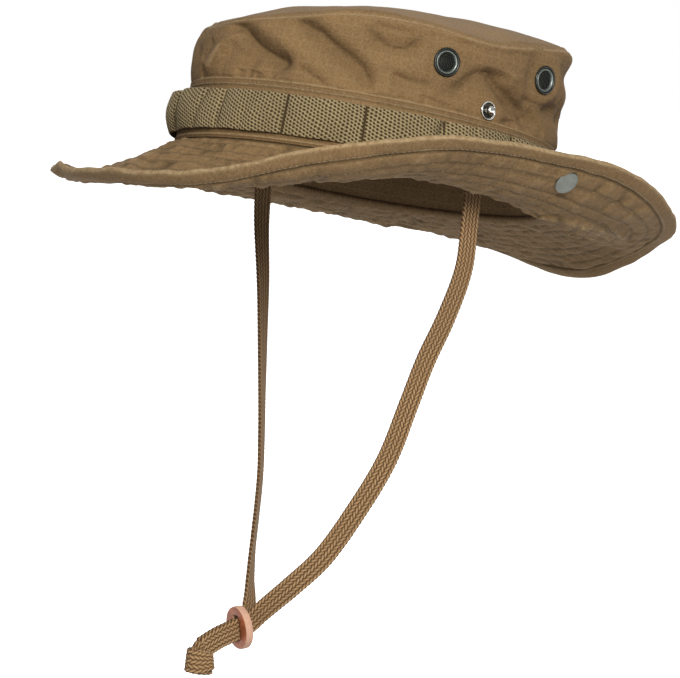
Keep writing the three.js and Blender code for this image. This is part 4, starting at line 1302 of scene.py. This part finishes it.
class BUSHHAT_OT_stitching(Operator):
    """Rows of thread on both faces of the brim and round the band"""

    bl_idname = "bushhat.stitching"
    bl_label = "Stitching"

    def execute(self, context):
        pitch, thick = sizes().stitch_pitch / MM, sizes().thread / MM
        rows = sizes().quilt_rows
        thread = dyed(thread_material, "sewing_thread", "thread", "canvas_wear_and_highlight")

        def on_brim(face, share_from, proud):
            def place(a, lift):
                share = share_from(hem_start(a))
                return brim_place(a, share, face * (brim_relief(a, share, face, rows) + proud + lift))
            return stitch_row(place, pitch)

        def quilted(row):
            return lambda start: row / rows * start

        def hemmed(start):
            return start + (1 - start) * HEM_STITCH / HEM_WIDTH

        def on_band(a, lift):
            return band_place(a, BAND_STITCH + 0 * a, 0.12 + lift)

        quilt = [on_brim(face, quilted(row), 0.05) for face in (-1, 1) for row in range(1, rows)]
        seams = [*(on_brim(face, hemmed, 0.1) for face in (-1, 1)), stitch_row(on_band, pitch)]
        put_stitches("brim_quilting", quilt, thread, "canvas", pitch * 0.8, thick)
        put_stitches("seam_stitching", seams, thread, "canvas", pitch * 0.82, thick * 1.1)
        return {"FINISHED"}


# ---- Turned metal fittings ----
# Profiles of radius and height; each closes on itself or runs from the axis back to it.
FLANGE = [
    (5.9, -1.0), (5.9, 0.35), (6.75, 0.3), (7.1, 0.42), (7.2, 0.7), (7.1, 1.0), (6.8, 1.25),
    (6.4, 1.32), (6.05, 1.15), (5.85, 0.9), (5.8, 0.7), (5.4, 0.6), (5.4, -1.0), (5.9, -1.0),
]
WASHER = [
    (4.4, -1.2), (5.7, -1.2), (5.75, 0.5), (5.7, 0.85), (5.5, 1.02), (5.2, 1.0), (4.9, 0.78),
    (4.6, 0.35), (4.45, -0.2), (4.4, -1.2),
]
PLATE = [(0, -1.25), (4.5, -1.25), (4.5, -1.05), (0, -1.05)]
STUD_RIM = [
    (3.7, 0.3), (4.5, 0.3), (4.7, 0.45), (4.75, 0.8), (4.62, 1.15), (4.4, 1.32), (4.15, 1.3),
    (3.9, 1.1), (3.7, 0.8), (3.7, 0.3),
]
STUD_BALL = [
    (0, 0.5), (2.1, 0.5), (1.8, 0.9), (1.6, 1.5), (1.7, 2.0), (2.1, 2.5), (2.25, 3.0), (2.1, 3.5),
    (1.5, 3.95), (0.7, 4.15), (0, 4.2),
]
STUD_WELL = [(0, 0.32), (3.8, 0.32), (3.8, 0.95), (3.3, 0.6), (0, 0.6)]
# The brim snap: its cap from the brim's lower face, then its socket from the seat on the upper face.
CAP = [
    (0, -1.5), (3.4, -1.48), (4.7, -1.38), (5.0, -1.2), (5.15, -1.15), (5.35, -1.3), (5.7, -1.25),
    (6.05, -0.85), (6.2, -0.45), (6.1, -0.05), (5.8, 0.1), (1.8, 0.1),
]
SOCKET = [
    (1.8, 0), (4.8, 0), (5.0, 0.3), (5.0, 1.3), (4.7, 1.8), (4.1, 2.15), (3.4, 2.2), (2.7, 2.0),
    (2.4, 1.4), (2.4, 0.6), (0, 0.6),
]


def turned(name, profile, frame_at, material, body_slot):
    """Turns (radius, height) pairs about a frame's third axis."""
    angle = np.radians(around(ROUND["metal"])[0])
    radius, level = (np.array(c, float)[:, None] for c in zip(*profile))
    radius = np.maximum(radius, 0.004)
    local = np.stack(np.broadcast_arrays(radius * np.cos(angle), radius * np.sin(angle), level), -1)
    origin, *axes = frame_at
    return put_grid(name, origin + local @ np.array(axes) * MM, material, body_slot, wrap_rows=False)


def surface_frame(place, a, b, step_a, step_b):
    """Origin and axes on a surface: the third axis leaves it, the second runs up it."""
    def point(i, j):
        return worn(np.array(place(np.array(float(i)), np.array(float(j)))))
    along = point(a + step_a, b) - point(a - step_a, b)
    up = point(a, b + step_b) - point(a, b - step_b)
    y, z = unit(up), unit(np.cross(along, up))
    return point(a, b), np.cross(y, z), y, z


def crown_frame(angle, height):
    return surface_frame(lambda a, h: hat_point(a, crown_outset(a, h), h), angle, height, 2, 2)


def leant(at):
    """The same frame turned by SNAP_LEAN about its second axis, so that its underside looks further
    outwards."""
    origin, x, y, z = at
    c, s = math.cos(math.radians(SNAP_LEAN)), math.sin(math.radians(SNAP_LEAN))
    return origin, x * c + z * s, y, z * c - x * s


class BUSHHAT_OT_vents(Operator):
    """Four screened eyelets"""

    bl_idname = "bushhat.vents"
    bl_label = "Vents"

    def execute(self, context):
        black = metal_material("vent_lacquer", linear((46, 47, 42)), 0.32, 0.75, 0.2)
        # The grey washer inside each flange stands in for the highlight on the eyelet's inner bevel:
        # painted highlight.
        highlight_grey = metal_material("vent_ring", linear((112, 118, 112)), 0.42, 0.85, 0.2)
        # The dark plate under each screen stands in for the shaded hole: painted shade.
        dark = metal_material("vent_screen", linear((34, 34, 28)), 0.5, 0.5, 0.2)
        for name, angle, height, _ in VENTS:
            at = crown_frame(angle, height)
            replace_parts(turned(name + "_flange", FLANGE, at, black, "black_metal"), name)
            turned(name + "_washer", WASHER, at, highlight_grey, "black_metal")
            turned(name + "_plate", PLATE, at, dark, "black_metal")
            self.screen(name + "_mesh", at, black)
        return {"FINISHED"}

    def screen(self, name, at, material):
        """Wires both ways inside a circle: each a square bar as long as its chord, the second set laid
        over the first."""
        radius, pitch, wire = 4.5, 1.0, 0.34
        origin, x, y, z = at
        offsets = np.arange(-4, 5) * pitch
        half = np.sqrt(radius**2 - offsets**2)
        corner = np.array([(1, 1), (-1, 1), (-1, -1), (1, -1)]) * wire / 2
        beside = (offsets[:, None, None] + corner[:, 0])[..., None]
        along = (half[:, None, None] * [[-1.0], [1.0]])[..., None]
        bars = []
        for level, u, v in ((-0.62, x, y), (-0.32, y, x)):
            bars.append(origin + (beside * v + along * u + (level + corner[:, 1:]) * z) * MM)
        points = np.array(bars).reshape(-1, 8, 3)
        quads = np.array([
            [0, 1, 5, 4], [1, 2, 6, 5], [2, 3, 7, 6], [3, 0, 4, 7], [3, 2, 1, 0], [4, 5, 6, 7],
        ])
        # the second set is a mirror image, so its faces run the other way
        faces = [8 * i + (quads if i < len(offsets) else quads[:, ::-1]) for i in range(len(points))]
        thing = put_mesh(name, points, np.concatenate(faces), material, "black_metal")
        thing.data.polygons.foreach_set("use_smooth", np.zeros(len(thing.data.polygons), bool))


class BUSHHAT_OT_snaps(Operator):
    """Studs on the crown, and caps and sockets on the brim"""

    bl_idname = "bushhat.snaps"
    bl_label = "Snaps"

    def execute(self, context):
        chrome = metal_material("stud_nickel", (0.74, 0.74, 0.70), 0.16, 1.0, 0.12)
        # The well inside each stud's rim is darker metal: painted shade in the recess.
        dark = metal_material("stud_well", linear((58, 54, 44)), 0.4, 0.8, 0.2)
        dull = metal_material("cap_nickel", linear((98, 101, 95)), 0.38, 1.0, 0.15, (6, 1, 1))
        for name, angle, height in STUDS:
            at = crown_frame(angle, height)
            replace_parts(turned(name + "_rim", STUD_RIM, at, chrome, "bright_metal"), name)
            turned(name + "_ball", STUD_BALL, at, chrome, "bright_metal")
            turned(name + "_well", STUD_WELL, at, dark, "bright_metal")
        face = BRIM_WALL / 2 + GAP
        cap = [(r, h - face) for r, h in CAP] + [(r, h + face + 0.5) for r, h in SOCKET]
        for name, angle, share in SNAPS:
            at = surface_frame(lambda s, a: hat_point(a, *brim_line(a, s)), share, angle, 0.02, 1)
            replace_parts(turned(name + "_cap", cap, leant(at), dull, "brushed_metal"), name)
        return {"FINISHED"}


STEPS = ("stage", "chin_strap", "crown", "band", "webbing", "brim", "stitching", "vents", "snaps")


class BUSHHAT_PT_panel(Panel):
    """Sizes, colours and the steps that build the hat"""

    bl_idname = "BUSHHAT_PT_panel"
    bl_label = "Bush Hat"
    bl_space_type = "VIEW_3D"
    bl_region_type = "UI"
    bl_category = "Bush Hat"

    def draw(self, context):
        for group in (context.scene.bush_hat_sizes, context.scene.bush_hat_colours):
            box = self.layout.box()
            for key in group.__annotations__:
                box.prop(group, key)
        for step in STEPS:
            self.layout.operator("bushhat." + step)


CLASSES = (
    BushHatSizes,
    BushHatColours,
    BUSHHAT_OT_stage,
    BUSHHAT_OT_chin_strap,
    BUSHHAT_OT_crown,
    BUSHHAT_OT_band,
    BUSHHAT_OT_webbing,
    BUSHHAT_OT_brim,
    BUSHHAT_OT_stitching,
    BUSHHAT_OT_vents,
    BUSHHAT_OT_snaps,
    BUSHHAT_PT_panel,
)


def register():
    for cls in CLASSES:
        bpy.utils.register_class(cls)
    bpy.types.Scene.bush_hat_sizes = PointerProperty(type=BushHatSizes)
    bpy.types.Scene.bush_hat_colours = PointerProperty(type=BushHatColours)


def unregister():
    del bpy.types.Scene.bush_hat_sizes
    del bpy.types.Scene.bush_hat_colours
    for cls in reversed(CLASSES):
        bpy.utils.unregister_class(cls)


def main():
    register()
    for step in STEPS:
        getattr(bpy.ops.bushhat, step)()


if __name__ == "__main__":
    main()
